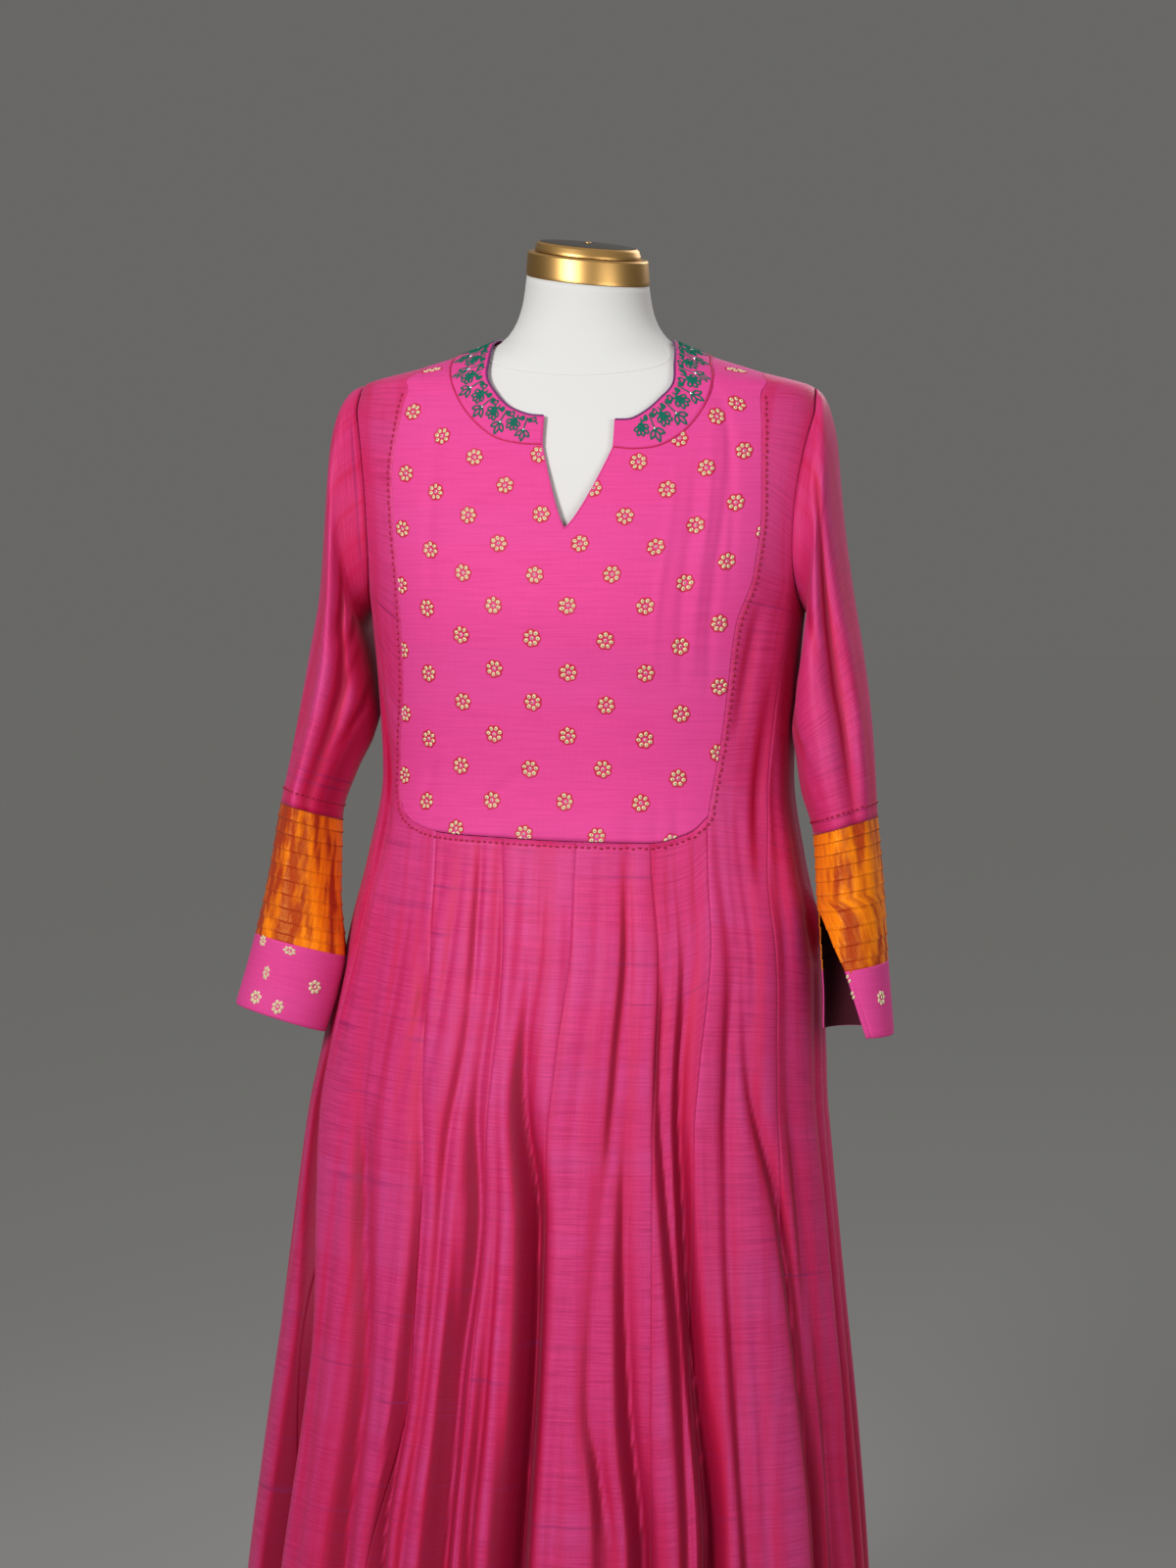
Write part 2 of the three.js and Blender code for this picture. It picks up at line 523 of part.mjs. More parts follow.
// A side kali, from the hem to the underarm. Its top follows the armhole's lower edge.
function sideKali(leftSeam, rightSeam, sideAngle, reach, columns) {
  const edge = (seam) => {
    const angle = angleAt(seam);
    const top = seam[seam.length - 1][0];
    return [...SKIRT_ROWS, ...WAIST_ROWS, top].map((z) => [angle(z), z]);
  };
  const underarm = (angle) => ARMHOLE.z - ARMHOLE.up * Math.sqrt(Math.max(0, 1 - ((angle - sideAngle) / reach) ** 2));
  const patch = panelBetween(edge(leftSeam), edge(rightSeam), columns);
  for (const place of patch.places.slice(-columns - 1)) place[1] = underarm(place[0]) - SEAM / 2;
  return patch;
}

// The yoke and the neckband

// Fills the space between four edges that share their corners, row by row. The rows run straight from the left edge
// to the right one, and take the foot's and the head's shapes near these.
function filledPatch(foot, head, left, right) {
  const last = left.length - 1;
  const end = foot.length - 1;
  return gridPatch(left.map((from, i) => foot.map((low, j) => {
    const t = i / last;
    const s = j / end;
    return [0, 1].map((k) => mix(from[k], right[i][k], s)
      + (low[k] - mix(foot[0][k], foot[end][k], s)) * (1 - t) ** 3
      + (head[j][k] - mix(head[0][k], head[end][k], s)) * t ** 3);
  })));
}

// Angles of the points along the yoke's foot: those of the kalis' tops and of the panels beside it.
const KALI_COLUMNS = [7, 6, 7, 4];
const KALI_SEAMS = [SEAM_A, SEAM_B, SEAM_C, SEAM_D, SEAM_E];
function footAngles() {
  const tops = KALI_SEAMS.map((seam) => seam[seam.length - 1][1]);
  const angles = [YOKE_FOOT[0][0], tops[0]];
  KALI_COLUMNS.forEach((columns, k) => {
    for (let j = 1; j <= columns; j++) angles.push(mix(tops[k], tops[k + 1], j / columns));
  });
  return angles;
}

function yokePatch() {
  const foot = footAngles().map((angle) => [angle, footHeight(angle) + SEAM / 2]);
  const centre = foot.reduce((best, [angle], i) => (Math.abs(angle) < Math.abs(foot[best][0]) ? i : best), 0);
  const halves = [
    { band: BAND_RIGHT, side: YOKE_SIDE_RIGHT, foot: foot.slice(0, centre + 1), sign: 1 },
    { band: BAND_LEFT, side: YOKE_SIDE_LEFT, foot: foot.slice(centre), sign: -1 },
  ];
  return joinedPatch(...halves.map(({ band, side, foot: low, sign }) => {
    const joined = shifted(band.map(([angle, z]) => [angle, z]), (sign * SEAM) / 2);
    const start = foot[centre];
    const middle = heightsBetween(0, 1, YOKE_CENTRE_ROWS).map((t) => [mix(start[0], SLIT_FOOT[0], t), mix(start[1], SLIT_FOOT[1], t)]);
    const slit = [1, 2].map((k) => [mix(SLIT_FOOT[0], band[0][0], k / 3), mix(SLIT_FOOT[1], band[0][1], k / 3)]);
    const inner = [...middle, ...slit, ...joined];
    const outer = shifted(side, (-sign * SEAM) / 2);
    // The yoke ends a seam's gap before the shoulder line.
    const shoulder = -sign * (90 - SHOULDER_GAP);
    outer[outer.length - 1][0] = shoulder;
    inner[inner.length - 1][0] = shoulder;
    const columns = low.length - 1;
    low[sign > 0 ? 0 : columns][0] = outer[0][0];
    const from = sign > 0 ? outer[outer.length - 1] : inner[inner.length - 1];
    const to = sign > 0 ? inner[inner.length - 1] : outer[outer.length - 1];
    const head = low.map((_, j) => [mix(from[0], to[0], j / columns), mix(from[1], to[1], j / columns)]);
    const left = sign > 0 ? outer : inner;
    const right = sign > 0 ? inner : outer;
    left[0] = low[0];
    right[0] = low[columns];
    return filledPatch(low, head, left, right);
  }));
}

// The neckband: one strip round the neck from one side of the slit to the other.
function neckbandPatch() {
  const right = BAND_RIGHT.map((row) => [...row]);
  const left = BAND_LEFT.map((row) => [...row]).reverse();
  const back = BAND_BACK.slice(1).map((row) => [...row]);
  const backRight = back.slice(0, -1).reverse().map(([a, z, b, w]) => [360 - a, z, 360 - b, w]);
  const ring = [...left.map((row) => row).reverse(), ...back, ...backRight, ...right.reverse().map(([a, z, b, w]) => [a + 360, z, b + 360, w])];
  const joined = shifted(ring.map(([angle, z]) => [angle, z]), SEAM / 2);
  const free = ring.map(([, , angle, z]) => [angle, z]);
  const middle = joined.map(([angle, z], i) => [mix(angle, free[i][0], 0.5), mix(z, free[i][1], 0.5)]);
  return gridPatch([joined, middle, free]);
}

// The sleeves

const sleeveCurves = { right: rowCurves(SLEEVE_RIGHT), left: rowCurves(SLEEVE_LEFT) };
const creaseTables = { right: CREASES_RIGHT, left: CREASES_LEFT };

function creaseDepth(table, turn, row) {
  return table.reduce((sum, [at, width, depth, start, deepest, end]) => {
    if (row <= start || row >= end) return sum;
    const t = row < deepest ? (row - start) / (deepest - start) : (end - row) / (end - deepest);
    let off = (turn - at) % 360;
    if (off > 180) off -= 360;
    if (off < -180) off += 360;
    return sum + depth * t * t * (3 - 2 * t) * Math.exp(-((off / width) ** 2));
  }, 0);
}

// The armhole's outline, a seam's gap inside the panels' edge. A turn of 0 is the shoulder tip, 90 the front.
function armholePoint(side, turn, share) {
  const sign = side === "left" ? 1 : -1;
  const c = Math.cos(radians(turn));
  const s = Math.sin(radians(turn));
  const reach = (s > 0 ? ARMHOLE.front : ARMHOLE.back) * share;
  const angle = sign * (90 - reach * s);
  const z = ARMHOLE.z + ARMHOLE.up * share * c;
  return bodyPoint(angle, z).addScaledVector(normalOf(bodyPoint, angle, z, 0.15, 0.15), SLEEVE_LIFT);
}

function sleevePoint(side, turn, row) {
  const [ox, oz, ix, iz, midY, halfDepth, lift] = sleeveCurves[side].map((curve) => curve(row));
  const c = Math.cos(radians(turn));
  const s = Math.sin(radians(turn));
  const section = new THREE.Vector3(mix(ix, ox, (1 + c) / 2), midY - halfDepth * s, mix(iz, oz, (1 + c) / 2) + halfDepth * lift * s);
  const middle = new THREE.Vector3((ox + ix) / 2, midY, (oz + iz) / 2);
  section.addScaledVector(section.clone().sub(middle).normalize(), -creaseDepth(creaseTables[side], turn, row));
  if (row >= FADE_ROWS) return section;
  const [ox0, oz0, ix0, iz0, y0, depth0] = sleeveCurves[side].map((curve) => curve(0));
  const first = new THREE.Vector3(mix(ix0, ox0, (1 + c) / 2), y0 - depth0 * s, mix(iz0, oz0, (1 + c) / 2));
  const fade = (1 - Math.max(0, row) / FADE_ROWS) ** 1.5;
  return section.add(armholePoint(side, turn, ARMHOLE.inset).sub(first).multiplyScalar(fade));
}

function sleeveNormal(side, turn, row) {
  const normal = normalOf((u, v) => sleevePoint(side, u, v), turn, Math.max(row, 0.03), 0.5, 0.02);
  return side === "left" ? normal : normal.negate();
}

// A ring of points round a sleeve at a row, moved out along the cloth's normal by a distance.
function sleeveRing(side, row, out) {
  return Array.from({ length: LOOP_POINTS }, (_, j) => {
    const turn = ((side === "left" ? -1 : 1) * 360 * j) / LOOP_POINTS;
    return sleevePoint(side, turn, row).addScaledVector(sleeveNormal(side, turn, row), out);
  });
}

function sleeveTube(side, rows, outAt = () => 0, plainRows = rows) {
  return tubeWall(rows.map((row, i) => sleeveRing(side, row, outAt(i))), plainRows.map((row) => sleeveRing(side, row, -CLOTH)));
}

// The rows of a tucked band: each tuck rises from its foot to its edge, and drops back over a short step.
function tuckedBand(side) {
  const start = BAND_ROW + 0.012;
  const end = CUFF_ROW - 0.008;
  const rows = [start];
  const rises = [0];
  for (let k = 0; k < TUCKS; k++) {
    const foot = mix(start, end, (k + 0.62) / TUCKS);
    const edge = foot + ((end - start) / TUCKS) * TUCK_EDGE;
    rows.push(foot, edge);
    rises.push(TUCK_RISE, 0);
  }
  rows.push(end);
  rises.push(0);
  return sleeveTube(side, rows, (i) => rises[i], [start, mix(start, end, 0.35), mix(start, end, 0.7), end]);
}

function solidOf(geometry) {
  const bare = new THREE.BufferGeometry().setAttribute("position", geometry.getAttribute("position")).setIndex(geometry.index);
  const merged = mergeVertices(bare, 1e-4);
  return new wasm.Manifold(new wasm.Mesh({
    numProp: 3,
    vertProperties: merged.getAttribute("position").array,
    triVerts: new Uint32Array(merged.index.array),
  }));
}

function geometryOf(solid) {
  const mesh = solid.getMesh();
  const geometry = new THREE.BufferGeometry();
  geometry.setAttribute("position", new THREE.BufferAttribute(new Float32Array(mesh.vertProperties), 3));
  geometry.setIndex(new THREE.BufferAttribute(mesh.triVerts, 1));
  return geometry;
}

// Cuts the slit, a tall wedge, out of the left band or cuff. The other side's pieces are returned as they are.
function slitCut(geometry, side) {
  if (side === "right") return geometry;
  const { top, x, edge, lowX, backY } = CUFF_SLIT;
  const low = edge - 60;
  const fall = (top - low) / (top - edge);
  const wedge = new THREE.Shape([
    new THREE.Vector2(x, top),
    new THREE.Vector2(mix(x, lowX[0], fall), low),
    new THREE.Vector2(mix(x, lowX[1], fall), low),
  ]);
  const prism = new THREE.ExtrudeGeometry(wedge, { depth: 160, bevelEnabled: false });
  prism.rotateX(Math.PI / 2);
  prism.translate(0, backY, 0);
  return geometryOf(solidOf(geometry).subtract(solidOf(prism)));
}

// The dress form and its stand

const [formWidth, formFront, formBack, formRoundness] = columnCurves(FORM_SECTIONS);

const leanAt = (z) => Math.min(1, Math.max(0, (z - NECK_LEAN.from) / (NECK_LEAN.to - NECK_LEAN.from)));

// A closed body from rings of points, from the lowest to the highest, with a flat fan at each end.
function stackedRings(rings, footPoint, headPoint) {
  const sides = rings[0].length;
  const head = (rings.length - 1) * sides;
  const end = rings.length * sides;
  const faces = [];
  for (let j = 0; j < sides; j++) {
    const k = (j + 1) % sides;
    for (let i = 0; i < head; i += sides) {
      faces.push([i + j, i + k, i + sides + k], [i + j, i + sides + k, i + sides + j]);
    }
    faces.push([end, k, j], [end + 1, head + j, head + k]);
  }
  return closedGeometry([...rings.flat(), footPoint, headPoint], faces);
}

function formGeometry() {
  const heights = FORM_SECTIONS.flatMap(([z], i) => {
    const next = FORM_SECTIONS[i + 1];
    return next && next[0] - z > 60 ? [z, (z + next[0]) / 2] : [z];
  });
  const rings = heights.map((z) => Array.from({ length: FORM_COLUMNS }, (_, j) => {
    const angle = (360 * j) / FORM_COLUMNS;
    const depth = Math.cos(radians(angle)) >= 0 ? formFront(z) : formBack(z);
    const [x, y] = superellipse(angle, formWidth(z), depth, formRoundness(z));
    const lean = leanAt(z) * (NECK_LEAN.front * y - NECK_LEAN.side * x);
    return new THREE.Vector3(x, y, z + lean + (1 - leanAt(z)) * shoulderTilt(x, z));
  }));
  return stackedRings(rings, new THREE.Vector3(0, 0, heights[0]), new THREE.Vector3(0, 0, heights[heights.length - 1]));
}

// A turned piece: the outline's points are distances from the axis and heights, from the axis out and back to it.
function turned(outline, sides) {
  const rings = outline.slice(1, -1).map(([r, z]) => Array.from({ length: sides }, (_, j) => {
    const angle = (2 * Math.PI * j) / sides;
    return new THREE.Vector3(r * Math.cos(angle), r * Math.sin(angle), z);
  }));
  return stackedRings(rings, new THREE.Vector3(0, 0, outline[0][1]), new THREE.Vector3(0, 0, outline[outline.length - 1][1]));
}

// A piece of the cap: turned, made oval, then leaned as the neck's top is.
function capPiece(outline) {
  const geometry = turned(outline, CAP_SIDES);
  const lean = new THREE.Matrix4().set(
    1, 0, 0, 0,
    0, CAP_DEPTH, 0, 0,
    -NECK_LEAN.side, NECK_LEAN.front * CAP_DEPTH, 1, NECK_LEAN.to,
    0, 0, 0, 1,
  );
  return geometry.applyMatrix4(lean);
}

// Assembly

const group = new THREE.Group();

function add(name, geometry, material) {
  const mesh = new THREE.Mesh(geometry, material);
  mesh.name = name;
  group.add(mesh);
}

add("yoke_front", bodyWall(yokePatch()), CLOTH_PINK);
add("neckband", bodyWall(neckbandPatch()), CLOTH_PINK);

KALI_COLUMNS.forEach((columns, k) => {
  add(`kali_front_${k + 1}`, bodyWall(frontKali(KALI_SEAMS[k], KALI_SEAMS[k + 1], columns)), CLOTH_SILK);
});
add("side_front_right", bodyWall(sideFront(SEAM_A, [[-34, 984]], YOKE_SIDE_RIGHT, ARMHOLE_ROWS.right,
  armholeEdge(SEAM_L, -90, ARMHOLE.front), -1, 10)), CLOTH_SILK);
add("side_front_left", bodyWall(sideFront(SEAM_E, [], YOKE_SIDE_LEFT, ARMHOLE_ROWS.left,
  armholeEdge(SEAM_F, 90, -ARMHOLE.front), 1, 8)), CLOTH_SILK);
add("kali_side_front_right", bodyWall(sideKali(SEAM_SIDE_RIGHT, SEAM_L, -90, ARMHOLE.front, 11)), CLOTH_SILK);
add("kali_side_front_left", bodyWall(sideKali(SEAM_F, SEAM_SIDE_LEFT, 90, ARMHOLE.front, 9)), CLOTH_SILK);
const sideBack = sideKali(SEAM_SIDE_LEFT, SEAM_BACK_SIDE_LEFT, 90, ARMHOLE.back, 9);
add("kali_side_back_left", bodyWall(sideBack), CLOTH_SILK);
add("kali_side_back_right", bodyWall(mirroredPatch(sideBack)), CLOTH_SILK);
add("back_side_left", bodyWall(backSide(7)), CLOTH_SILK);
add("back_side_right", bodyWall(mirroredPatch(backSide(7))), CLOTH_SILK);
add("back_centre_left", bodyWall(backCentre(7)), CLOTH_SILK);
add("back_centre_right", bodyWall(mirroredPatch(backCentre(7))), CLOTH_SILK);

for (const side of ["left", "right"]) {
  const rows = heightsBetween(0, BAND_ROW, BAND_ROW);
  add(`sleeve_${side}`, sleeveTube(side, rows), CLOTH_SILK);
  add(`sleeve_band_${side}`, slitCut(tuckedBand(side), side), CLOTH_ORANGE);
  add(`cuff_${side}`, slitCut(sleeveTube(side, heightsBetween(CUFF_ROW, END_ROW, 3)), side), CLOTH_PINK);
}

add("form_torso", formGeometry(), FORM_WHITE);
add("cap_band", capPiece(CAP_BAND), CAP_GOLD);
add("cap_disc", capPiece(CAP_DISC), CAP_GOLD);
add("stand_plate", turned(PLATE, STAND_SIDES), STAND_STEEL);
add("stand_socket", turned(SOCKET, STAND_SIDES), STAND_STEEL);
add("stand_tube", turned([[0, TUBE_ENDS[0]], [TUBE_RADIUS, TUBE_ENDS[0]], [TUBE_RADIUS, TUBE_ENDS[1]], [0, TUBE_ENDS[1]]], 16), STAND_STEEL);
add("stand_flange", turned(FLANGE, STAND_SIDES), STAND_STEEL);

export default group;
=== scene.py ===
"""Looks of a long panelled kurti on a limbless dress form.

Places on the cloth are given in millimetres by an angle and a height. 0 degrees is the centre front, +90
the wearer's left side (+X) and 180 the centre back. Every surface is worked out on a grid in mm first.
"""

import bpy
import numpy as np
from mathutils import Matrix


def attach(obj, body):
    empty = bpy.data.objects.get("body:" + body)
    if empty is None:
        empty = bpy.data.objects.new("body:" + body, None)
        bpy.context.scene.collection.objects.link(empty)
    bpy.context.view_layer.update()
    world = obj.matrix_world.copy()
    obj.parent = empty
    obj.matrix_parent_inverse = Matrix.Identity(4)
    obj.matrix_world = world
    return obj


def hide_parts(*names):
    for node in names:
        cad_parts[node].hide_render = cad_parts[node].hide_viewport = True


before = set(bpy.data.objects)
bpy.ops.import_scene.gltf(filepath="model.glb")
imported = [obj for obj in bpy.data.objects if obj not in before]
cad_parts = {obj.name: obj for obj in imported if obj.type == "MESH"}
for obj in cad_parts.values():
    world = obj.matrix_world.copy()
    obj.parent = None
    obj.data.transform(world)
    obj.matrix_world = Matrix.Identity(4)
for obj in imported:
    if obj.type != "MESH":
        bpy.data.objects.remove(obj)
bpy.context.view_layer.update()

MM = 0.001
CLOTH = 0.9  # thickness of a cloth shell
HEM_Z = 150
SHOULDER_TILT, TILT_FROM, TILT_OVER = 0.016, 1250, 110
GAP = 0.008  # degrees left between a panel and its seam
SKIRT_STEPS, SIDE_STEPS, BACK_ROWS = 108, 150, 210

# Horizontal sections of the garment. Columns: height, half width, centre x, front depth, back depth,
# roundness (2 is an ellipse, more is squarer).
SECTIONS = [
    [150, 300, -30, 262, 250, 2.0],
    [322, 287, -28, 240, 226, 2.0],
    [449, 272, -25, 221, 206, 2.0],
    [611, 249, -21.5, 194, 182, 2.05],
    [735, 232, -19, 172, 164, 2.1],
    [793, 223.5, -13.5, 162, 156, 2.1],
    [894, 207.5, -3.5, 142, 142, 2.15],
    [956, 192, -2, 129, 128, 2.2],
    [1031, 179, 0, 119, 114, 2.3],
    [1100, 182, 0, 124, 112, 2.3],
    [1160, 187, 0, 129, 114, 2.3],
    [1200, 192, 0, 124, 116, 2.35],
    [1250, 200, 0, 110, 116, 2.4],
    [1300, 205, 0, 94, 108, 2.4],
    [1335, 206, 0, 82, 96, 2.3],
    [1350, 202, 0, 76, 90, 2.2],
    [1361, 196, 0, 72, 86, 2.1],
    [1375, 148, 0, 66, 78, 2.1],
    [1390, 100, 0, 60, 70, 2.1],
    [1400, 76, 0, 55, 62, 2.1],
]

# Troughs of the skirt's folds. Columns: angles at the heights 950, 800, 665, 530 and 400, half widths in
# degrees towards the wearer's right and left, depths at 950, 800, 665 and 400, and how far the bottom leans
# to the wearer's left for each mm of depth. At the hem a fold is a quarter deeper than at 400.
FOLDS = [
    [267, 267, 267, 267.2, 267.5, 6, 6, 3, 6, 8, 20, 0.3],
    [-86, -84, -82, -81, -80, 5, 4, 2, 4, 8, 18, 0.3],
    [-74, -73, -72, -71.5, -71, 6, 5, 2, 4, 6, 14, -0.2],
    [-70, -66, -57.5, -51.7, -51.7, 2.4, 2, 0, 5, 14, 26, 0.2],
    [-50, -45, -36.8, -32.1, -33.2, 3.2, 3.4, 1, 4, 8, 13, 0.1],
    [-35.6, -26.7, -21.9, -22, -24.7, 1.6, 2.2, 1, 3, 6, 16, 0.15],
    [-19.4, -16.3, -17.2, -18.7, -19.8, 1.4, 2, 2, 4, 6, 8, 0.15],
    [-13.3, -12.7, -9.2, -11.7, -12.9, 2.6, 2.2, 3, 7, 13, 20, 0.15],
    [-13.8, -8.9, -6.2, -6.5, -8.1, 1.4, 1.6, 0, 2, 5, 14, 0.3],
    [-5.5, -2.8, 1.4, 1.4, 1.2, 2, 2, 1, 9, 25, 38, 0.1],
    [15.7, 16.2, 14.2, 12.8, 16.9, 1.5, 2, 1, 2, 3, 9, 0.2],
    [15.3, 17.8, 18.5, 20.6, 22.8, 1.8, 2.4, 1, 4, 8, 22, 0.15],
    [21.9, 25.7, 27.7, 29.9, 31.5, 1.3, 1.8, 2, 5, 9, 9, 0.3],
    [28.4, 30, 32.1, 33.8, 35.8, 1.8, 2, 3, 8, 19, 34, 0.15],
    [45.3, 42.4, 41.3, 42.7, 43.1, 2, 3.4, 1, 3, 5, 9, 0.1],
    [44.8, 48, 56.8, 60.2, 62.4, 2, 2.4, 1, 4, 10, 22, 0.2],
    [61, 62, 66, 68, 69, 4, 4, 2, 3, 6, 15, -0.1],
    [78, 78.2, 80.2, 80.3, 79, 2.6, 2.6, 1, 4, 8, 16, -0.1],
    [90, 89.5, 89, 89.2, 89.5, 6, 6, 2, 4, 7, 17, 0.2],
    [106, 106.5, 107, 106.8, 106.5, 6, 5, 3, 6, 10, 24, 0.4],
    [121, 121.5, 122, 122.2, 122.5, 6, 6, 2, 4, 6, 15, -0.2],
    [137, 137.5, 138, 138.2, 138.5, 5, 6, 4, 8, 13, 29, 0.4],
    [152, 152.5, 153, 153.2, 153.5, 5, 5, 2, 4, 6, 14, 0.1],
    [168, 168.5, 169, 169.5, 170, 6, 5, 4, 9, 14, 30, -0.4],
    [186, 186, 186, 186.2, 186.5, 5.5, 5.5, 2, 4, 7, 16, 0.2],
    [202, 201.5, 201, 201.2, 201.5, 6, 5, 4, 8, 12, 27, 0.4],
    [218, 218, 218, 218.2, 218.5, 5.5, 5.5, 2, 4, 6, 13, -0.2],
    [234, 233.5, 233, 233.2, 233.5, 6, 5, 4, 8, 12, 26, -0.4],
    [250, 249.5, 249, 249.2, 249.5, 6, 6, 3, 5, 7, 16, 0.2],
]
FOLD_HEIGHTS = [HEM_Z, 400, 530, 665, 800, 950, 1030]
FOLD_WAVE, WAVE_HEIGHT = 0.4, 65  # degrees, and mm for each radian of the wave
FOLD_ROUND = 0.16  # square degrees

# Smaller creases of the skirt and bodice, each a soft groove along a slanting line (a ridge has a minus
# depth). Columns: angle and height of the upper end, angle and height of the lower end, half width in
# degrees, depth.
CREASES = [
    [-70, 1120, -58, 940, 3.5, 3.0],
    [-62, 1000, -56, 760, 2.5, 2.5],
    [-40, 980, -37, 620, 2.2, 2.2],
    [-30, 985, -30, 700, 1.3, 1.6],
    [-24, 975, -24, 760, 1.4, 1.8],
    [-19, 978, -17, 850, 1.0, 1.6],
    [-7, 975, -7, 780, 1.4, 1.8],
    [-3, 965, -2.5, 830, 1.0, 1.5],
    [2, 940, 4, 800, 1.0, 1.5],
    [9, 975, 8, 640, 1.5, 1.2],
    [15, 970, 16, 700, 1.2, 2.6],
    [26, 985, 25, 760, 1.2, 2.2],
    [34, 990, 30, 760, 1.4, 2.4],
    [41, 1010, 43, 700, 2.0, 2.4],
    [49, 1010, 50, 760, 2.2, 2.6],
    [66, 1120, 54, 930, 3.5, 3.6],
    [70, 1060, 62, 860, 2.6, 2.4],
    [56, 1180, 49, 1060, 3.0, 3.0],
    [-46, 760, -43, 300, 1.6, 2.6],
    [-28, 700, -27, 260, 1.4, 2.4],
    [-13, 700, -14.5, 300, 1.2, 2.6],
    [-3, 700, -2, 300, 1.4, 2.2],
    [8, 640, 6.5, 200, 1.5, 3.0],
    [15, 620, 16, 220, 1.2, 2.6],
    [24, 700, 24, 250, 1.3, 2.2],
    [37, 760, 37.5, 250, 1.5, 3.0],
    [47, 640, 49, 200, 1.6, 3.0],
    [64, 760, 64, 250, 2.0, 3.0],
    [72, 700, 74, 200, 2.0, 3.0],
    [98, 700, 98, 160, 2.4, 3.2],
    [130, 760, 131, 160, 2.4, 3.0],
    [160, 800, 162, 160, 2.4, 3.4],
    [194, 760, 195, 160, 2.4, 3.2],
    [226, 720, 226, 160, 2.4, 3.2],
    [258, 700, 259, 160, 2.4, 3.0],
    [281, 800, 282, 160, 2.6, 3.4],
    [150, 1330, 160, 1180, 6.0, 2.5],
    [210, 1330, 200, 1180, 6.0, 2.5],
    [120, 1180, 135, 1020, 4.5, 3.0],
    [240, 1180, 225, 1020, 4.5, 3.0],
    [83, 935, 86, 880, 4.0, -5.0],
    [76, 915, 82, 860, 2.4, 3.0],
]


def smooth(xs, ys, x):
    """Monotone cubic y(x) through the points, held outside them: a Hermite cubic on each step, whose
    tangent at a point is 2ab/(a+b) for the slopes a and b beside it, or 0 where they differ in sign."""
    xs, ys = np.asarray(xs, float), np.asarray(ys, float)
    slope = np.diff(ys) / np.diff(xs)
    a, b = slope[:-1], slope[1:]
    total = np.where(a + b == 0, 1, a + b)
    tangent = np.concatenate([slope[:1], np.where(a * b > 0, 2 * a * b / total, 0), slope[-1:]])
    x = np.clip(x, xs[0], xs[-1])
    k = np.clip(np.searchsorted(xs, x, side="right") - 1, 0, len(xs) - 2)
    h = xs[k + 1] - xs[k]
    t = (x - xs[k]) / h
    keep = 2 * t**3 - 3 * t**2 + 1
    rise = (t**3 - 2 * t**2 + t) * h * tangent[k] + (t**3 - t**2) * h * tangent[k + 1]
    return keep * ys[k] + (1 - keep) * ys[k + 1] + rise


def along(table, column, x):
    """smooth() through one column of a table, against its first column."""
    table = np.asarray(table, float)
    return smooth(table[:, 0], table[:, column], x)


def turn_off(angle, centre):
    """Signed difference of two angles, from -180 to 180."""
    return (angle - centre + 180) % 360 - 180


def fold_depth(angle, z):
    """Depth and sideways lean of the skirt's folds. Each adds d exp(-|off/w|^1.45) to the depth, with w the
    half width on the side where off is, and that times its lean to the lean. Its middle line waves a little
    and its bottom is rounded over a narrow strip."""
    depth = np.zeros(np.broadcast(angle, z).shape)
    slide = np.zeros(depth.shape)
    for number, (*places, right, left, d950, d800, d665, d400, lean) in enumerate(FOLDS):
        places = [places[4]] + places[::-1] + [places[0]]
        middle = smooth(FOLD_HEIGHTS, places, z) + FOLD_WAVE * np.sin(z / WAVE_HEIGHT + 2 * number)
        off = turn_off(angle, middle)
        off = np.sqrt(off**2 + FOLD_ROUND) * np.where(off < 0, -1, 1)
        width = np.where(off < 0, right, left)
        deep = [1.25 * d400, d400, (d665 + d400) / 2, d665, d800, d950, 0]
        share = smooth(FOLD_HEIGHTS, deep, z) * np.exp(-np.abs(off / width) ** 1.45)
        depth += share
        slide += share * lean
    return depth, slide


def crease_depth(angle, z, table=CREASES):
    """Depth of the small creases: d exp(-(off/w)^2) sin(pi t)^0.7 at the share t of the way along each
    line."""
    depth = np.zeros(np.broadcast(angle, z).shape)
    for a0, z0, a1, z1, width, deep in table:
        t = np.clip((z0 - z) / (z0 - z1), 0, 1)
        off = turn_off(angle, a0 + (a1 - a0) * t)
        depth += deep * np.exp(-((off / width) ** 2)) * np.sin(np.pi * t) ** 0.7
    return depth


def relief(angle, z):
    """Depth of the folds and creases together."""
    return fold_depth(angle, z)[0] + crease_depth(angle, z)


def shoulder_tilt(x, z):
    """How far the shoulders tilt: the wearer's right one up and the left one down."""
    return -SHOULDER_TILT * x * np.clip((z - TILT_FROM) / TILT_OVER, 0, 1)


def superellipse(angle, half, depth, power):
    """x = half sgn(s)|s|^(2/n), y = -depth sgn(c)|c|^(2/n), with s and c the sine and cosine of the
    angle."""
    s, c = np.sin(np.radians(angle)), np.cos(np.radians(angle))
    x = half * np.sign(s) * np.abs(s) ** (2 / power)
    y = -depth * np.sign(c) * np.abs(c) ** (2 / power)
    return x, y


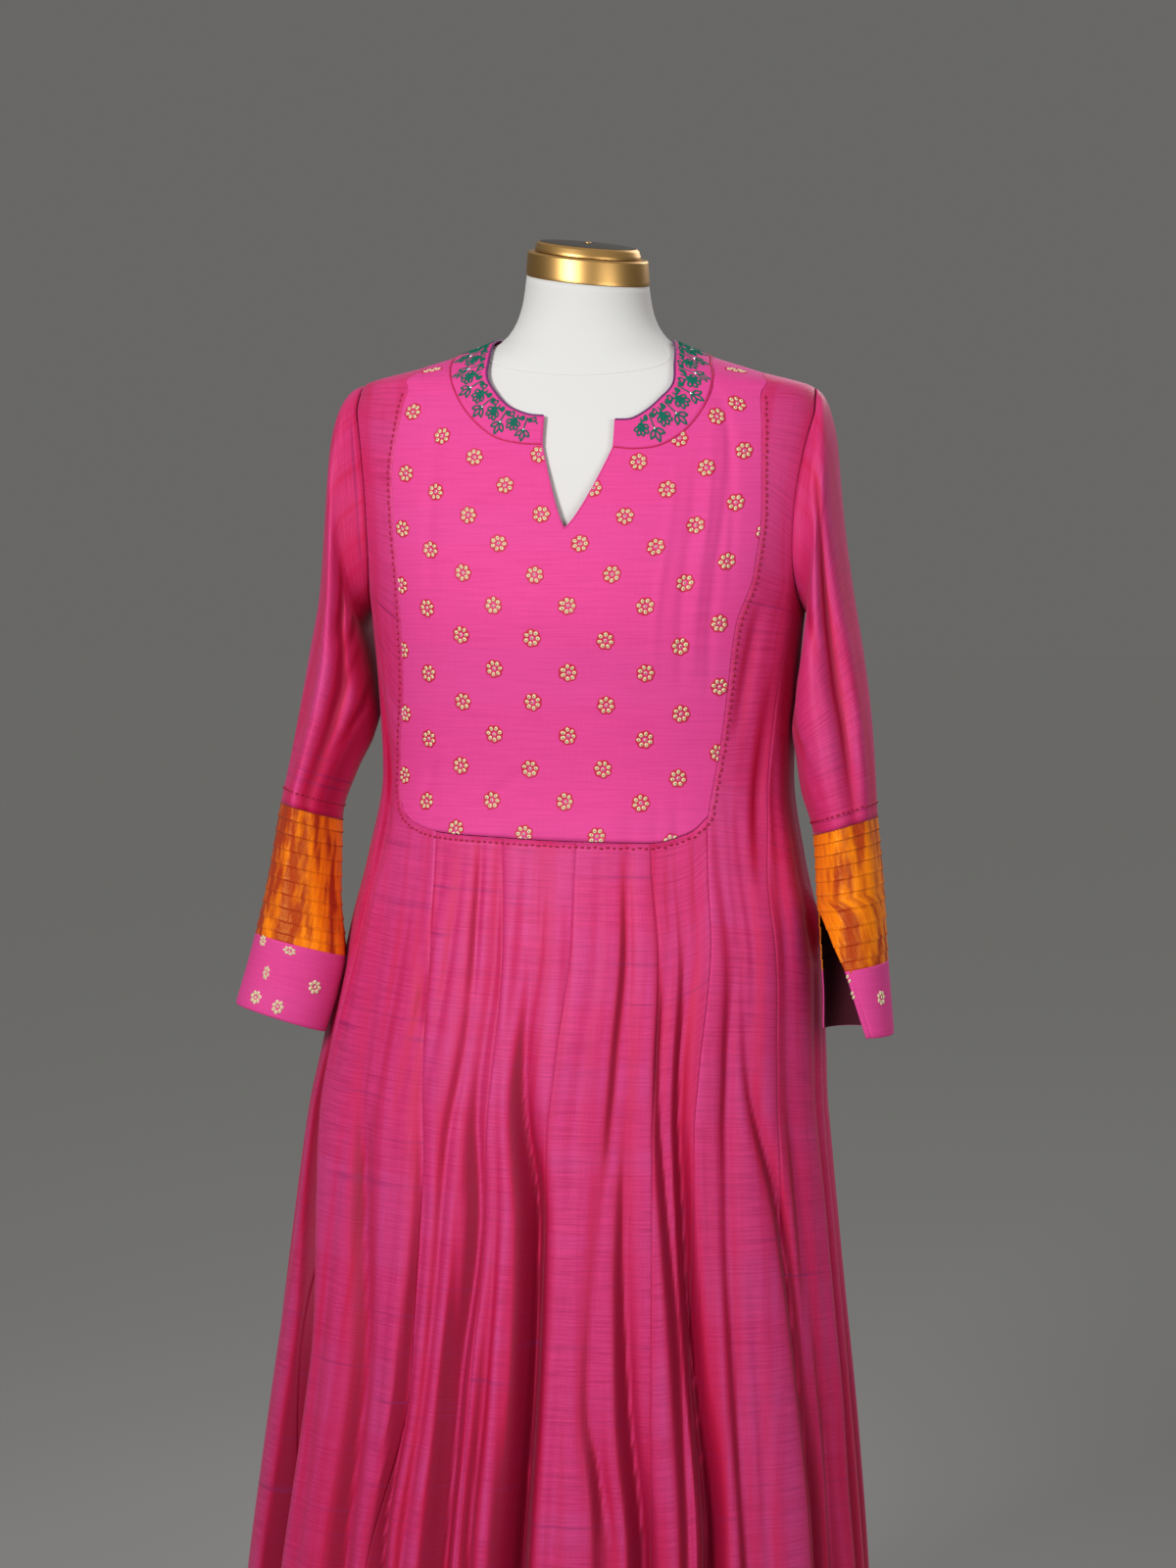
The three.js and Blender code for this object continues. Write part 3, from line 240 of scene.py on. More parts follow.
def body(angle, z, sink=0.0):
    """The garment's outer surface: the superellipse at height z, moved inwards by the depth of folds,
    creases and sink, and sideways by the folds' lean."""
    angle, z = np.broadcast_arrays(np.asarray(angle, float), np.asarray(z, float))
    half, mid, front, back, power = [along(SECTIONS, k, z) for k in range(1, 6)]
    depth = np.where(np.cos(np.radians(angle)) >= 0, front, back)
    x, y = superellipse(angle, half, depth, power)
    nx, ny = x / half**2, y / depth**2
    length = np.hypot(nx, ny)
    folds, slide = fold_depth(angle, z)
    sunk = folds + crease_depth(angle, z) + sink
    nx, ny = nx / length, ny / length
    x_moved, y_moved = mid + x - nx * sunk - ny * slide, y - ny * sunk + nx * slide
    return np.stack([x_moved, y_moved, z + shoulder_tilt(x, z)], axis=-1)


def unit(v):
    return v / np.maximum(np.linalg.norm(v, axis=-1, keepdims=True), 1e-9)


def body_normal(angle, z):
    """Unit normal, from points 0.2 degree and 0.2 mm to each side."""
    across = body(angle + 0.2, z) - body(angle - 0.2, z)
    up = body(angle, z + 0.2) - body(angle, z - 0.2)
    return unit(np.cross(across, up))


# Meshes
pieces, trims = {}, {}


def run_along(path):
    """The running length at each point of a path."""
    return np.concatenate([[0], np.cumsum(np.linalg.norm(np.diff(path, axis=0), axis=1))])


def compact(points, faces):
    """Only the points that the faces use, and the faces numbered to suit."""
    used, order = np.unique(faces, return_inverse=True)
    return points[used], order.reshape(faces.shape)


def make_mesh(name, points, faces, material, uv=None, shade=None):
    """A mesh from arrays: points in mm, faces of equal size, a UV for each corner, painted shade per point.
    """
    points = np.asarray(points, float).reshape(-1, 3) * MM
    faces = np.asarray(faces, int)
    corners = faces.shape[1]
    mesh = bpy.data.meshes.new(name)
    mesh.vertices.add(len(points))
    mesh.vertices.foreach_set("co", points.ravel())
    mesh.loops.add(faces.size)
    mesh.loops.foreach_set("vertex_index", faces.ravel())
    mesh.polygons.add(len(faces))
    mesh.polygons.foreach_set("loop_start", np.arange(len(faces)) * corners)
    mesh.polygons.foreach_set("loop_total", np.full(len(faces), corners))
    mesh.update(calc_edges=True)
    mesh.polygons.foreach_set("use_smooth", np.ones(len(faces), bool))
    if uv is not None:
        mesh.uv_layers.new(name="weave").data.foreach_set("uv", np.asarray(uv, float).ravel())
    if shade is not None:
        attribute = mesh.attributes.new("shade", "FLOAT", "POINT")
        attribute.data.foreach_set("value", np.asarray(shade, float).ravel())
    mesh.materials.append(material)
    mesh.validate()
    piece = bpy.data.objects.new(name, mesh)
    bpy.context.scene.collection.objects.link(piece)
    return piece


def cloth_uv(points, shift):
    """UV in metres along the cloth: running length along each row from its middle, and up the columns."""
    across = np.linalg.norm(np.diff(points, axis=1), axis=2)
    u = np.concatenate([np.zeros((len(points), 1)), np.cumsum(across, axis=1)], axis=1)
    u -= u[:, -1:] / 2
    up = np.linalg.norm(np.diff(points, axis=0), axis=2)
    v = np.concatenate([np.zeros((1, points.shape[1])), np.cumsum(up, axis=0)], axis=0)
    v = v.mean(axis=1, keepdims=True) + 0 * u
    return np.stack([u, v], axis=-1) * MM + shift


def grid_faces(rows, columns, closed):
    """Quads of a grid of points, and the same quads on a grid with its first column repeated at the end."""
    i, j = np.meshgrid(np.arange(rows - 1), np.arange(columns if closed else columns - 1), indexing="ij")
    i, j = i.ravel(), j.ravel()
    steps = [(0, 0), (0, 1), (1, 1), (1, 0)]
    faces = np.stack([(i + a) * columns + (j + b) % columns for a, b in steps], axis=1)
    wide = columns + 1 if closed else columns
    corners = np.stack([(i + a) * wide + (j + b) for a, b in steps], axis=1)
    return faces, corners


def thicken(piece, thickness=CLOTH, inside=None):
    """Gives a surface the thickness of its cloth inwards, with a material of its own on that side if
    wanted."""
    wall = piece.modifiers.new("wall", "SOLIDIFY")
    wall.thickness = thickness * MM
    wall.offset = -1
    if inside:
        piece.data.materials.append(inside)
        wall.material_offset = 1
    return piece


def grid_piece(name, points, material, shift=(0, 0), shade=None, closed=False, thickness=CLOTH, inside=None):
    """A shell of cloth on a grid of points, in rows from below upwards with the columns to the right."""
    rows, columns = points.shape[:2]
    ring = np.concatenate([points, points[:, :1]], axis=1) if closed else points
    faces, corners = grid_faces(rows, columns, closed)
    uv = cloth_uv(ring, np.asarray(shift, float)).reshape(-1, 2)[corners.ravel()]
    piece = make_mesh(name, points, faces, material, uv, shade)
    return thicken(piece, thickness, inside)


# Materials


def new_material(name, color, roughness, **inputs):
    material = bpy.data.materials.new(name)
    material.use_nodes = True
    shader = material.node_tree.nodes["Principled BSDF"]
    shader.inputs["Base Color"].default_value = (*color, 1)
    shader.inputs["Roughness"].default_value = roughness
    for key, value in inputs.items():
        shader.inputs[key.replace("_", " ")].default_value = value
    return material


class Nodes:
    """Short hand for a material's node tree."""

    def __init__(self, material):
        self.tree = material.node_tree
        self.shader = self.tree.nodes["Principled BSDF"]

    def add(self, kind, settings=None, **inputs):
        node = self.tree.nodes.new(kind)
        for key, value in (settings or {}).items():
            setattr(node, key, value)
        for key, value in inputs.items():
            self.feed(node.inputs[key.replace("_", " ")], value)
        return node

    def feed(self, socket, value):
        if isinstance(value, bpy.types.NodeSocket):
            self.tree.links.new(value, socket)
        else:
            socket.default_value = value

    def math(self, operation, a, b=0.0):
        node = self.tree.nodes.new("ShaderNodeMath")
        node.operation = operation
        self.feed(node.inputs[0], a)
        self.feed(node.inputs[1], b)
        return node.outputs[0]

    def noise(self, vector, scale, detail=2.0):
        """Noise on a vector, with each axis scaled."""
        scaled = self.add("ShaderNodeMapping", Vector=vector, Scale=scale).outputs[0]
        return self.add("ShaderNodeTexNoise", Vector=scaled, Scale=1.0, Detail=detail).outputs[0]

    def ramp(self, value, low, high):
        """0 up to the low value and 1 from the high one on."""
        return self.add("ShaderNodeMapRange", Value=value, From_Min=low, From_Max=high).outputs[0]

    def part(self, value, low, high, most):
        """The ramp of a value, times the most that it may reach."""
        return self.math("MULTIPLY", self.ramp(value, low, high), most)

    def mix(self, share, a, b):
        node = self.add("ShaderNodeMix", {"data_type": "RGBA"})
        self.feed(node.inputs[0], share)
        self.feed(node.inputs[6], a)
        self.feed(node.inputs[7], b)
        return node.outputs[2]

    def bump(self, height, strength, distance):
        node = self.add("ShaderNodeBump", Height=height, Strength=strength, Distance=distance)
        self.feed(self.shader.inputs["Normal"], node.outputs[0])


# Painted shadow: the near-black crimson put at the bottom of the deepest folds.
PAINTED_FOLD_SHADOW = (0.18, 0.0, 0.015)


def woven(name, base, dark, bar, lilac, tint, roughness, slub, bars, sheen, flank_crimson_and_shade=None):
    """Plain woven cloth on the weave UV: fine threads both ways, slubs along the weft, darker weft bars,
    broad bands of lilac and, where the shade attribute and random upright streaks call for it, a crimson
    colour on the flanks of folds, partly the silk's crimson warp and partly painted shade, with a painted
    shadow colour where the attribute is highest."""
    material = new_material(name, base, roughness)
    nodes = Nodes(material)
    nodes.shader.inputs["Sheen Weight"].default_value = sheen
    nodes.shader.inputs["Sheen Roughness"].default_value = 0.35
    nodes.shader.inputs["Sheen Tint"].default_value = (*tint, 1)
    nodes.shader.inputs["Specular Tint"].default_value = (*tint, 1)
    nodes.shader.inputs["Specular IOR Level"].default_value = 0.45
    place = nodes.add("ShaderNodeUVMap", {"uv_map": "weave"}).outputs[0]
    weft = nodes.noise(place, (22, 560, 1), 5)
    fine = nodes.noise(place, (60, 2600, 1), 1)
    warp = nodes.noise(place, (2400, 45, 1), 1)
    colour = nodes.mix(nodes.part(weft, 0.4, 0.68, slub), (*base, 1), (*dark, 1))
    colour = nodes.mix(nodes.part(warp, 0.4, 0.75, slub * 0.6), colour, (*dark, 1))
    bands = nodes.noise(place, (0.7, 14, 1), 2)
    colour = nodes.mix(nodes.part(bands, 0.48, 0.56, slub * 0.35), colour, (*lilac, 1))
    if flank_crimson_and_shade:
        # Painted shade: crimson, partly the silk's crimson warp, on the flanks of folds, and a painted shadow
        # in the deepest of them.
        shade = nodes.add("ShaderNodeAttribute", {"attribute_name": "shade"}).outputs["Fac"]
        streaks = nodes.part(nodes.noise(place, (62, 2.2, 1), 3), 0.46, 0.62, 0.34)
        colour = nodes.mix(nodes.math("ADD", shade, streaks), colour, (*flank_crimson_and_shade, 1))
        colour = nodes.mix(nodes.part(shade, 0.55, 1.0, 0.7), colour, (*PAINTED_FOLD_SHADOW, 1))
    line = nodes.noise(place, (1.3, 130, 1), 2)
    width = nodes.noise(place, (14, 40, 1), 1)
    strength = nodes.part(line, 0.62, 0.72, nodes.ramp(width, 0.4, 0.62))
    cloud = nodes.ramp(nodes.noise(place, (9, 30, 1), 3), 0.35, 0.65)
    threads = nodes.part(nodes.noise(place, (30, 700, 1), 3), 0.5, 0.64, cloud)
    strength = nodes.math("MAXIMUM", strength, nodes.math("MULTIPLY", threads, 0.4))
    colour = nodes.mix(nodes.math("MULTIPLY", strength, bars), colour, (*bar, 1))
    nodes.feed(nodes.shader.inputs["Base Color"], colour)
    height = nodes.math("ADD", nodes.math("MULTIPLY", weft, 0.7), nodes.math("MULTIPLY", fine, 0.3))
    nodes.bump(nodes.math("ADD", height, nodes.math("MULTIPLY", warp, 0.35)), 0.5, 0.0004)
    return material


def satin():
    """Orange satin: upright patches of painted highlight, bright orange where crushed satin would catch the
    light, between red-brown painted shade, broken across by fine threads, with a soft crushed relief."""
    material = new_material("orange satin", (0.86, 0.22, 0.008), 0.38)
    nodes = Nodes(material)
    nodes.shader.inputs["Specular Tint"].default_value = (1.0, 0.6, 0.12, 1)
    nodes.shader.inputs["Specular IOR Level"].default_value = 0.5
    place = nodes.add("ShaderNodeUVMap", {"uv_map": "weave"}).outputs[0]
    streak = nodes.noise(place, (110, 26, 1), 3)
    broad = nodes.noise(place, (34, 5, 1), 2)
    fine = nodes.noise(place, (300, 1500, 1), 2)
    share = nodes.math("ADD", nodes.math("MULTIPLY", streak, 0.4), nodes.math("MULTIPLY", broad, 0.6))
    # Painted highlight and shade: bright orange on the upright patches, red-brown between them.
    colour = nodes.mix(nodes.ramp(share, 0.45, 0.55), (0.4, 0.034, 0.008, 1), (1.0, 0.25, 0.004, 1))
    colour = nodes.mix(nodes.part(fine, 0.35, 0.7, 0.25), colour, (0.5, 0.06, 0.01, 1))
    nodes.feed(nodes.shader.inputs["Base Color"], colour)
    nodes.bump(nodes.math("ADD", streak, nodes.math("MULTIPLY", fine, 0.1)), 0.6, 0.003)
    return material


def plain_thread(name, color, roughness=0.5):
    return new_material(name, color, roughness, Specular_IOR_Level=0.4)


PINK = woven(
    "pink cotton silk", base=(0.71, 0.055, 0.265), dark=(0.56, 0.035, 0.2), bar=(0.36, 0.03, 0.2),
    lilac=(0.62, 0.07, 0.31), tint=(1.0, 0.45, 0.75), roughness=0.7, slub=0.45, bars=0.16, sheen=0.12,
)
SILK = woven(
    "shot silk", base=(0.66, 0.04, 0.195), dark=(0.42, 0.016, 0.1), bar=(0.22, 0.012, 0.1),
    lilac=(0.58, 0.065, 0.27), tint=(1.0, 0.45, 0.7), roughness=0.52, slub=0.7, bars=0.55, sheen=0.24,
    flank_crimson_and_shade=(0.52, 0.004, 0.05),
)
ORANGE = satin()
WHITE = new_material("form cover", (0.64, 0.637, 0.622), 0.85)
GOLD = new_material("brushed gold", (0.58, 0.34, 0.115), 0.4, Metallic=1.0)
# The cap's top, darker than its gold sides.
DARK_CAP_TOP = new_material("dark bronze", (0.05, 0.042, 0.034), 0.6, Metallic=0.3)
BLACK = new_material("satin black", (0.02, 0.02, 0.022), 0.35, Metallic=0.4)
CREAM = plain_thread("cream gold thread", (0.7, 0.6, 0.36), 0.4)
CRIMSON = plain_thread("crimson thread", (0.5, 0.004, 0.045))
STITCH = plain_thread("dark crimson thread", (0.34, 0.0, 0.034))
SHADOW = plain_thread("shaded cloth", (0.05, 0.012, 0.04), 0.9)
HEART = plain_thread("dark thread", (0.2, 0.025, 0.03), 0.8)
TUCK_THREAD = plain_thread("brown thread", (0.3, 0.055, 0.012), 0.7)
# Painted shade: the inner faces of the sleeves, bands and cuffs are painted near black for the shade inside
# them.
SHADED_INSIDE = plain_thread("painted shade inside the sleeves", (0.07, 0.003, 0.014), 0.9)
GREEN = new_material("green thread", (0.0, 0.13, 0.085), 0.6, Specular_IOR_Level=0.2)
PLUM = plain_thread("plum piping", (0.13, 0.02, 0.12))
MIRROR = new_material("mirror bead", (0.85, 0.87, 0.86), 0.12, Metallic=1.0)

# Seams between the panels. Columns: height, angle.
SEAM_L = [[150, -51], [440, -53], [640, -56], [805, -61], [890, -61], [965, -65], [1022, -69], [1100, -70],
          [1186, -75.6]]
SEAM_A = [[150, -30], [390, -27], [540, -22], [700, -22], [810, -27], [900, -30.5], [984, -34]]
SEAM_B = [[150, -11], [400, -10], [660, -8.5], [860, -10.5], [981, -13.5]]
SEAM_C = [[150, 2.5], [700, 3], [979, 3]]
SEAM_D = [[150, 26], [400, 24.5], [750, 24.5], [978, 21]]
SEAM_E = [[150, 34.5], [510, 33], [730, 34], [866, 36], [999, 38]]
SEAM_F = [[150, 58], [720, 58], [905, 57.5], [1000, 64], [1100, 69], [1186, 75.6]]
SEAM_BACK_SIDE = [[150, 124], [700, 121], [1000, 114], [1100, 110], [1190, 104.1]]
SEAM_BACK = [[150, 151], [700, 149], [1030, 146], [1200, 142], [1340, 136], [1380.4, 132]]

# The yoke's sides from the lower corner to the shoulder, and its foot. Columns: angle, height.
YOKE_SIDE_RIGHT = [
    [-50, 998], [-54.5, 1022], [-53.5, 1056], [-49.5, 1106], [-48, 1156], [-47, 1200], [-46.5, 1240],
    [-46.5, 1280], [-45, 1310], [-44, 1335], [-45, 1352], [-52, 1366], [-62, 1374], [-76, 1377.5],
    [-90, 1379.5],
]
YOKE_SIDE_LEFT = [
    [38, 999], [40, 1024], [42.5, 1058], [44.5, 1106], [46, 1156], [50.5, 1200], [50, 1240], [48, 1280],
    [47, 1310], [47, 1335], [49, 1352], [56, 1364], [66, 1370], [78, 1372.5], [90, 1374.5],
]
YOKE_FOOT = [[-50, 998], [-43, 989.5], [-34, 984], [-13.5, 981], [3, 979], [21, 978], [32, 986], [38, 999]]
SLIT_FOOT_Z = 1238

# The neckband. Columns: angle and height of the edge joined to the yoke, then of the free edge.
BAND_RIGHT = [
    [-4.2, 1308, -4.6, 1332], [-9, 1309, -8, 1333.5], [-15, 1315, -12.5, 1340], [-21.5, 1331, -17, 1351],
    [-27.5, 1349, -22.5, 1365], [-35, 1366, -36.5, 1382], [-55, 1379, -58, 1394],
    [-73, 1385.5, -74, 1398.5], [-90, 1389, -90, 1400],
]
BAND_LEFT = [
    [7.5, 1306, 8, 1329], [12, 1304.5, 11.5, 1330], [18, 1308, 15, 1337], [24.5, 1322, 18.5, 1346],
    [30.5, 1344, 24, 1360], [38, 1366, 36, 1378], [55, 1379, 60, 1393], [73, 1385.5, 75, 1398.5],
    [90, 1389, 90, 1400],
]
BAND_BACK = [
    [90, 1389, 90, 1400], [103, 1386, 103, 1400], [118, 1382.6, 118, 1399.6], [132, 1380, 132, 1399.2],
    [148, 1378, 148, 1398.8], [164, 1376.8, 164, 1398.5], [180, 1376.5, 180, 1398.5],
]
# The armholes: height of the middle, half height, and half widths to the front and back in degrees.
ARMHOLE_Z, ARMHOLE_UP, ARMHOLE_FRONT, ARMHOLE_BACK = 1265.5, 95.5, 26, 23
TUCK_UNDER = 0.965  # the panels' edge lies a little inside the sleeve's


def spaced(width, step):
    """Shares from 0 to 1 across a panel of that width, closer together in the 3 mm beside each edge."""
    edge = np.array([0, 0.5, 1.1, 2, 3.2]) / width
    inner = np.linspace(edge[-1], 1 - edge[-1], max(4, int(width / step)))
    return np.concatenate([edge[:-1], inner, 1 - edge[:-1][::-1]])


def seam_sink(points):
    """How far the cloth turns in beside the long edges of a panel: 0.7 exp(-(d/1.1)^2), at the distance
    d."""
    across = np.linalg.norm(np.diff(points, axis=1), axis=2)
    left = np.concatenate([np.zeros((len(points), 1)), np.cumsum(across, axis=1)], axis=1)
    near = np.minimum(left, left[:, -1:] - left)
    return 0.7 * np.exp(-((near / 1.1) ** 2))


# Painted shade for each unit of slope, on flanks of folds that face the wearer's left, away from the key
# light, and on those facing right.
FACING_LEFT, FACING_RIGHT = 1.9, 0.8


def painted_fold_shade(angle, z):
    """How much painted shade the cloth gets where it turns away into a fold, from 0 to 1: the slope of its
    relief across, a little for depth, and some on the sides of the front, from 48 to 130 degrees, as they
    turn away from the front."""
    per_degree = np.maximum(np.linalg.norm(body(angle + 0.5, z) - body(angle - 0.5, z), axis=-1), 1)
    slope = (relief(angle + 0.6, z) - relief(angle - 0.6, z)) / (1.2 * per_degree)
    steep = np.abs(slope) * np.where(slope > 0, FACING_LEFT, FACING_RIGHT)
    off = np.abs(turn_off(angle, 0))
    side = np.clip((off - 48) / 34, 0, 1) * (off < 130)
    return np.clip(steep + fold_depth(angle, z)[0] / 50 + side * 0.3 - 0.06, 0, 1)


def panel_grid(left, right, width, step=2.9):
    """Angles and heights between two edges, given as arrays of [angle, height] from the hem up, for a panel
    of about that width in mm."""
    share = spaced(width, step)[None, :]
    angle = left[:, :1] * (1 - share) + right[:, :1] * share
    z = left[:, 1:] * (1 - share) + right[:, 1:] * share
    return angle, z


def panel_piece(name, angle, z, shift):
    """A panel of shot silk, whose weave starts at its own shift."""
    points = body(angle, z, seam_sink(body(angle, z)))
    return grid_piece(name, points, SILK, shift, painted_fold_shade(angle, z))


def heights(low, high, count):
    return np.linspace(low, high, count + 1)


def edge_of(seam, top, gap, steps=SKIRT_STEPS):
    """A seam from the hem to a height, as rows of [angle, height], moved sideways by a small angle."""
    z = heights(HEM_Z, top, steps)
    return np.stack([along(seam, 1, z) + gap, z], axis=1)


def foot_z(angle):
    """Height of the yoke's foot."""
    return smooth([a for a, _ in YOKE_FOOT], [z for _, z in YOKE_FOOT], angle)


def front_kali(name, left_seam, right_seam, width, shift):
    """A gore of the front skirt, whose top follows the yoke's foot."""
    tops = [foot_z(left_seam[-1][1]), foot_z(right_seam[-1][1])]
    left, right = edge_of(left_seam, tops[0], GAP), edge_of(right_seam, tops[1], -GAP)
    angle, z = panel_grid(left, right, width)
    share = (z - HEM_Z) / (z[-1:] - HEM_Z)
    z = HEM_Z + share * (foot_z(angle[-1:]) - 0.3 - HEM_Z)
    pieces[name] = panel_piece(name, angle, z, shift)


front_kali("kali_front_1", SEAM_A, SEAM_B, 92, (0.1, 0.02))
front_kali("kali_front_2", SEAM_B, SEAM_C, 72, (1.3, 0.31))
front_kali("kali_front_3", SEAM_C, SEAM_D, 108, (2.6, 0.66))
front_kali("kali_front_4", SEAM_D, SEAM_E, 46, (3.9, 0.13))


def armhole_edge(seam, side, reach, z):
    """Angle of the edge of a panel that runs up a seam, round the armhole and along the shoulder line."""
    lift = np.clip((z - ARMHOLE_Z) / ARMHOLE_UP, -1, 1)
    round_hole = side + TUCK_UNDER * reach * np.sqrt(1 - lift**2)
    return np.where(z <= seam[-1][0], along(seam, 1, z), round_hole)


def stepped(counts):
    """Places from 0 to the number of counts, with counts[k] equal steps between k and k + 1."""
    steps = [np.linspace(k, k + 1, n, endpoint=False) for k, n in enumerate(counts)]
    return np.concatenate(steps + [[len(counts)]])


def rows_through(points, counts):
    """A curve of [angle, height] through the points, with counts[k] steps between points k and k + 1."""
    points = np.asarray(points, float)
    index, places = np.arange(len(points)), stepped(counts)
    return np.stack([smooth(index, column, places) for column in points.T], axis=1)


def side_front(name, seam, foot, yoke_side, outer_seam, side, outer_tops, shift):
    """A long panel between a front seam, the yoke's side and the shoulder, and the seam and armhole
    outside."""
    above = foot + yoke_side
    counts = [max(2, int(np.hypot(b[1] - a[1], 1.2 * (b[0] - a[0])) / 5)) for a, b in zip(above, above[1:])]
    z = heights(HEM_Z, above[0][1], SKIRT_STEPS)
    inner = np.stack([along(seam, 1, z), z], axis=1)
    inner = np.concatenate([inner[:-1], rows_through(above, counts)])
    outer_z = np.concatenate([
        heights(HEM_Z, outer_tops[0], SKIRT_STEPS)[:-1],
        smooth(np.arange(len(outer_tops)), outer_tops, stepped(counts)),
    ])
    reach = -side * ARMHOLE_FRONT
    outer = np.stack([armhole_edge(outer_seam, side * 90, reach, outer_z), outer_z], axis=1)
    outer[:, 0] -= side * GAP
    inner[:, 0] += side * GAP
    left, right = (outer, inner) if side < 0 else (inner, outer)
    angle, z = panel_grid(left, right, 95)
    pieces[name] = panel_piece(name, angle, z, shift)


# Heights on the panels' outer edges, beside the points of their inner edges.
OUTER_RIGHT = [
    990, 1020, 1060, 1105, 1150, 1186, 1215, 1250, 1285, 1315, 1340, 1354, 1361, 1367, 1373, 1379.4,
]
OUTER_LEFT = [990, 1020, 1060, 1105, 1150, 1186, 1220, 1260, 1300, 1330, 1350, 1361, 1366, 1370, 1374.4]
side_front("side_front_right", SEAM_A, [[-34, 984]], YOKE_SIDE_RIGHT, SEAM_L, -1, OUTER_RIGHT, (5.1, 0.4))
side_front("side_front_left", SEAM_E, [], YOKE_SIDE_LEFT, SEAM_F, 1, OUTER_LEFT, (6.2, 0.8))


def side_kali(name, left_seam, right_seam, side, reach, width, shift):
    """A gore beside a side seam, whose top follows the armhole."""
    left = edge_of(left_seam, left_seam[-1][0], GAP, SIDE_STEPS)
    right = edge_of(right_seam, right_seam[-1][0], -GAP, SIDE_STEPS)
    angle, z = panel_grid(left, right, width, step=3.6)
    off = np.clip((angle[-1:] - side) / reach, -1, 1)
    top = ARMHOLE_Z - TUCK_UNDER * ARMHOLE_UP * np.sqrt(1 - off**2)
    z = HEM_Z + (z - HEM_Z) / (z[-1:] - HEM_Z) * (top - HEM_Z)
    pieces[name] = panel_piece(name, angle, z, shift)


def side_seam(angle):
    return [[HEM_Z, angle], [1170, angle]]


def other_side(seam):
    return [[z, 360 - angle] for z, angle in seam]


BACK_SEAM_RIGHT = other_side(SEAM_BACK_SIDE)
side_kali("kali_side_front_right", side_seam(-90), SEAM_L, -90, ARMHOLE_FRONT, 150, (7.3, 0.2))
side_kali("kali_side_front_left", SEAM_F, side_seam(90), 90, ARMHOLE_FRONT, 120, (8.4, 0.55))
side_kali("kali_side_back_left", side_seam(90), SEAM_BACK_SIDE, 90, ARMHOLE_BACK, 130, (9.5, 0.7))
side_kali("kali_side_back_right", BACK_SEAM_RIGHT, side_seam(270), 270, ARMHOLE_BACK, 130, (10.6, 0.35))


def back_head(angle):
    """Height of the back's top edge, under the neckband."""
    return smooth([row[0] for row in BAND_BACK], [row[1] for row in BAND_BACK], angle) - 0.3


def back_panel(name, left, right, shift, mirror):
    """A back panel on the wearer's left, whose upper rows bend to the neck's edge, or its mirror image."""
    angle, z = panel_grid(left, right, width=120, step=3.4)
    bend_from = 1240
    share = np.clip((z - bend_from) / (z[-1:] - bend_from), 0, 1)
    z = z + share**3 * (back_head(angle[-1:]) - z[-1:])
    if mirror:
        angle, z = 360 - angle[:, ::-1], z[:, ::-1]
    pieces[name] = panel_piece(name, angle, z, shift)


# Heights on the outer and the inner edge of the back's side panels, from the hem up.
BACK_OUTER = [150, 400, 700, 900, 1000, 1100, 1190, 1270, 1335, 1361, 1375, 1389]
BACK_INNER = [150, 400, 700, 900, 1000, 1100, 1190, 1270, 1330, 1355, 1369, 1380.4]
row_share = np.linspace(0, len(BACK_OUTER) - 1, BACK_ROWS)
outer_z = smooth(np.arange(len(BACK_OUTER)), BACK_OUTER, row_share)
inner_z = smooth(np.arange(len(BACK_INNER)), BACK_INNER, row_share)
outer_edge = np.stack([armhole_edge(SEAM_BACK_SIDE, 90, ARMHOLE_BACK, outer_z) + GAP, outer_z], axis=1)
inner_edge = np.stack([along(SEAM_BACK, 1, inner_z), inner_z], axis=1)
lower_neck = (BAND_BACK[-1][1] / BACK_INNER[-1]) ** (inner_z > 1300)
centre_edge = np.stack([180 + 0 * inner_z, inner_z * lower_neck], axis=1)
for side, mirror, shift in (("left", False, 11.7), ("right", True, 12.8)):
    back_panel(f"back_side_{side}", outer_edge, inner_edge - [GAP, 0], (shift, 0.1), mirror)
    back_panel(f"back_centre_{side}", inner_edge + [GAP, 0], centre_edge - [GAP, 0], (shift + 2, 0.6), mirror)

# The yoke


def slit_edge(band, rise):
    """Angle and height on an edge of the slit, from its foot (0) to the neckband (1)."""
    return band[0][0] * rise**0.9, SLIT_FOOT_Z + (band[0][1] - SLIT_FOOT_Z) * rise


def yoke_half(band, side, sign):
    """Angles and heights of one half: rows run from the side to the centre line, the slit and the neckband,
    and take the foot's curve near the foot."""
    counts = [20, 20, 20, 7, 7, 7, 5, 5, 6, 6, 6, 7, 7, 6]
    outer = rows_through(side, counts)
    slit = [slit_edge(band, k / 3) for k in range(4)]
    centre = [[0, z] for z in np.linspace(foot_z(0), SLIT_FOOT_Z, 4)]
    inner = np.concatenate([
        rows_through(centre, counts[:3])[:-1],
        rows_through(slit, counts[3:6])[:-1],
        rows_through([[a + 0.14 * (c - a), b + 0.14 * (d - b)] for a, b, c, d in band], counts[6:]),
    ])
    share = spaced(150, 2.4)[None, :]
    if sign < 0:
        share = 1 - share[:, ::-1]
    q = np.linspace(0, 1, len(outer))[:, None]
    angle = outer[:, :1] * (1 - share) + inner[:, :1] * share
    z = outer[:, 1:] * (1 - share) + inner[:, 1:] * share
    foot_angle = angle[:1]
    z = z + (foot_z(foot_angle) + 0.3 - z[:1]) * (1 - q) ** 3
    return (angle, z) if sign > 0 else (angle[:, ::-1], z[:, ::-1])


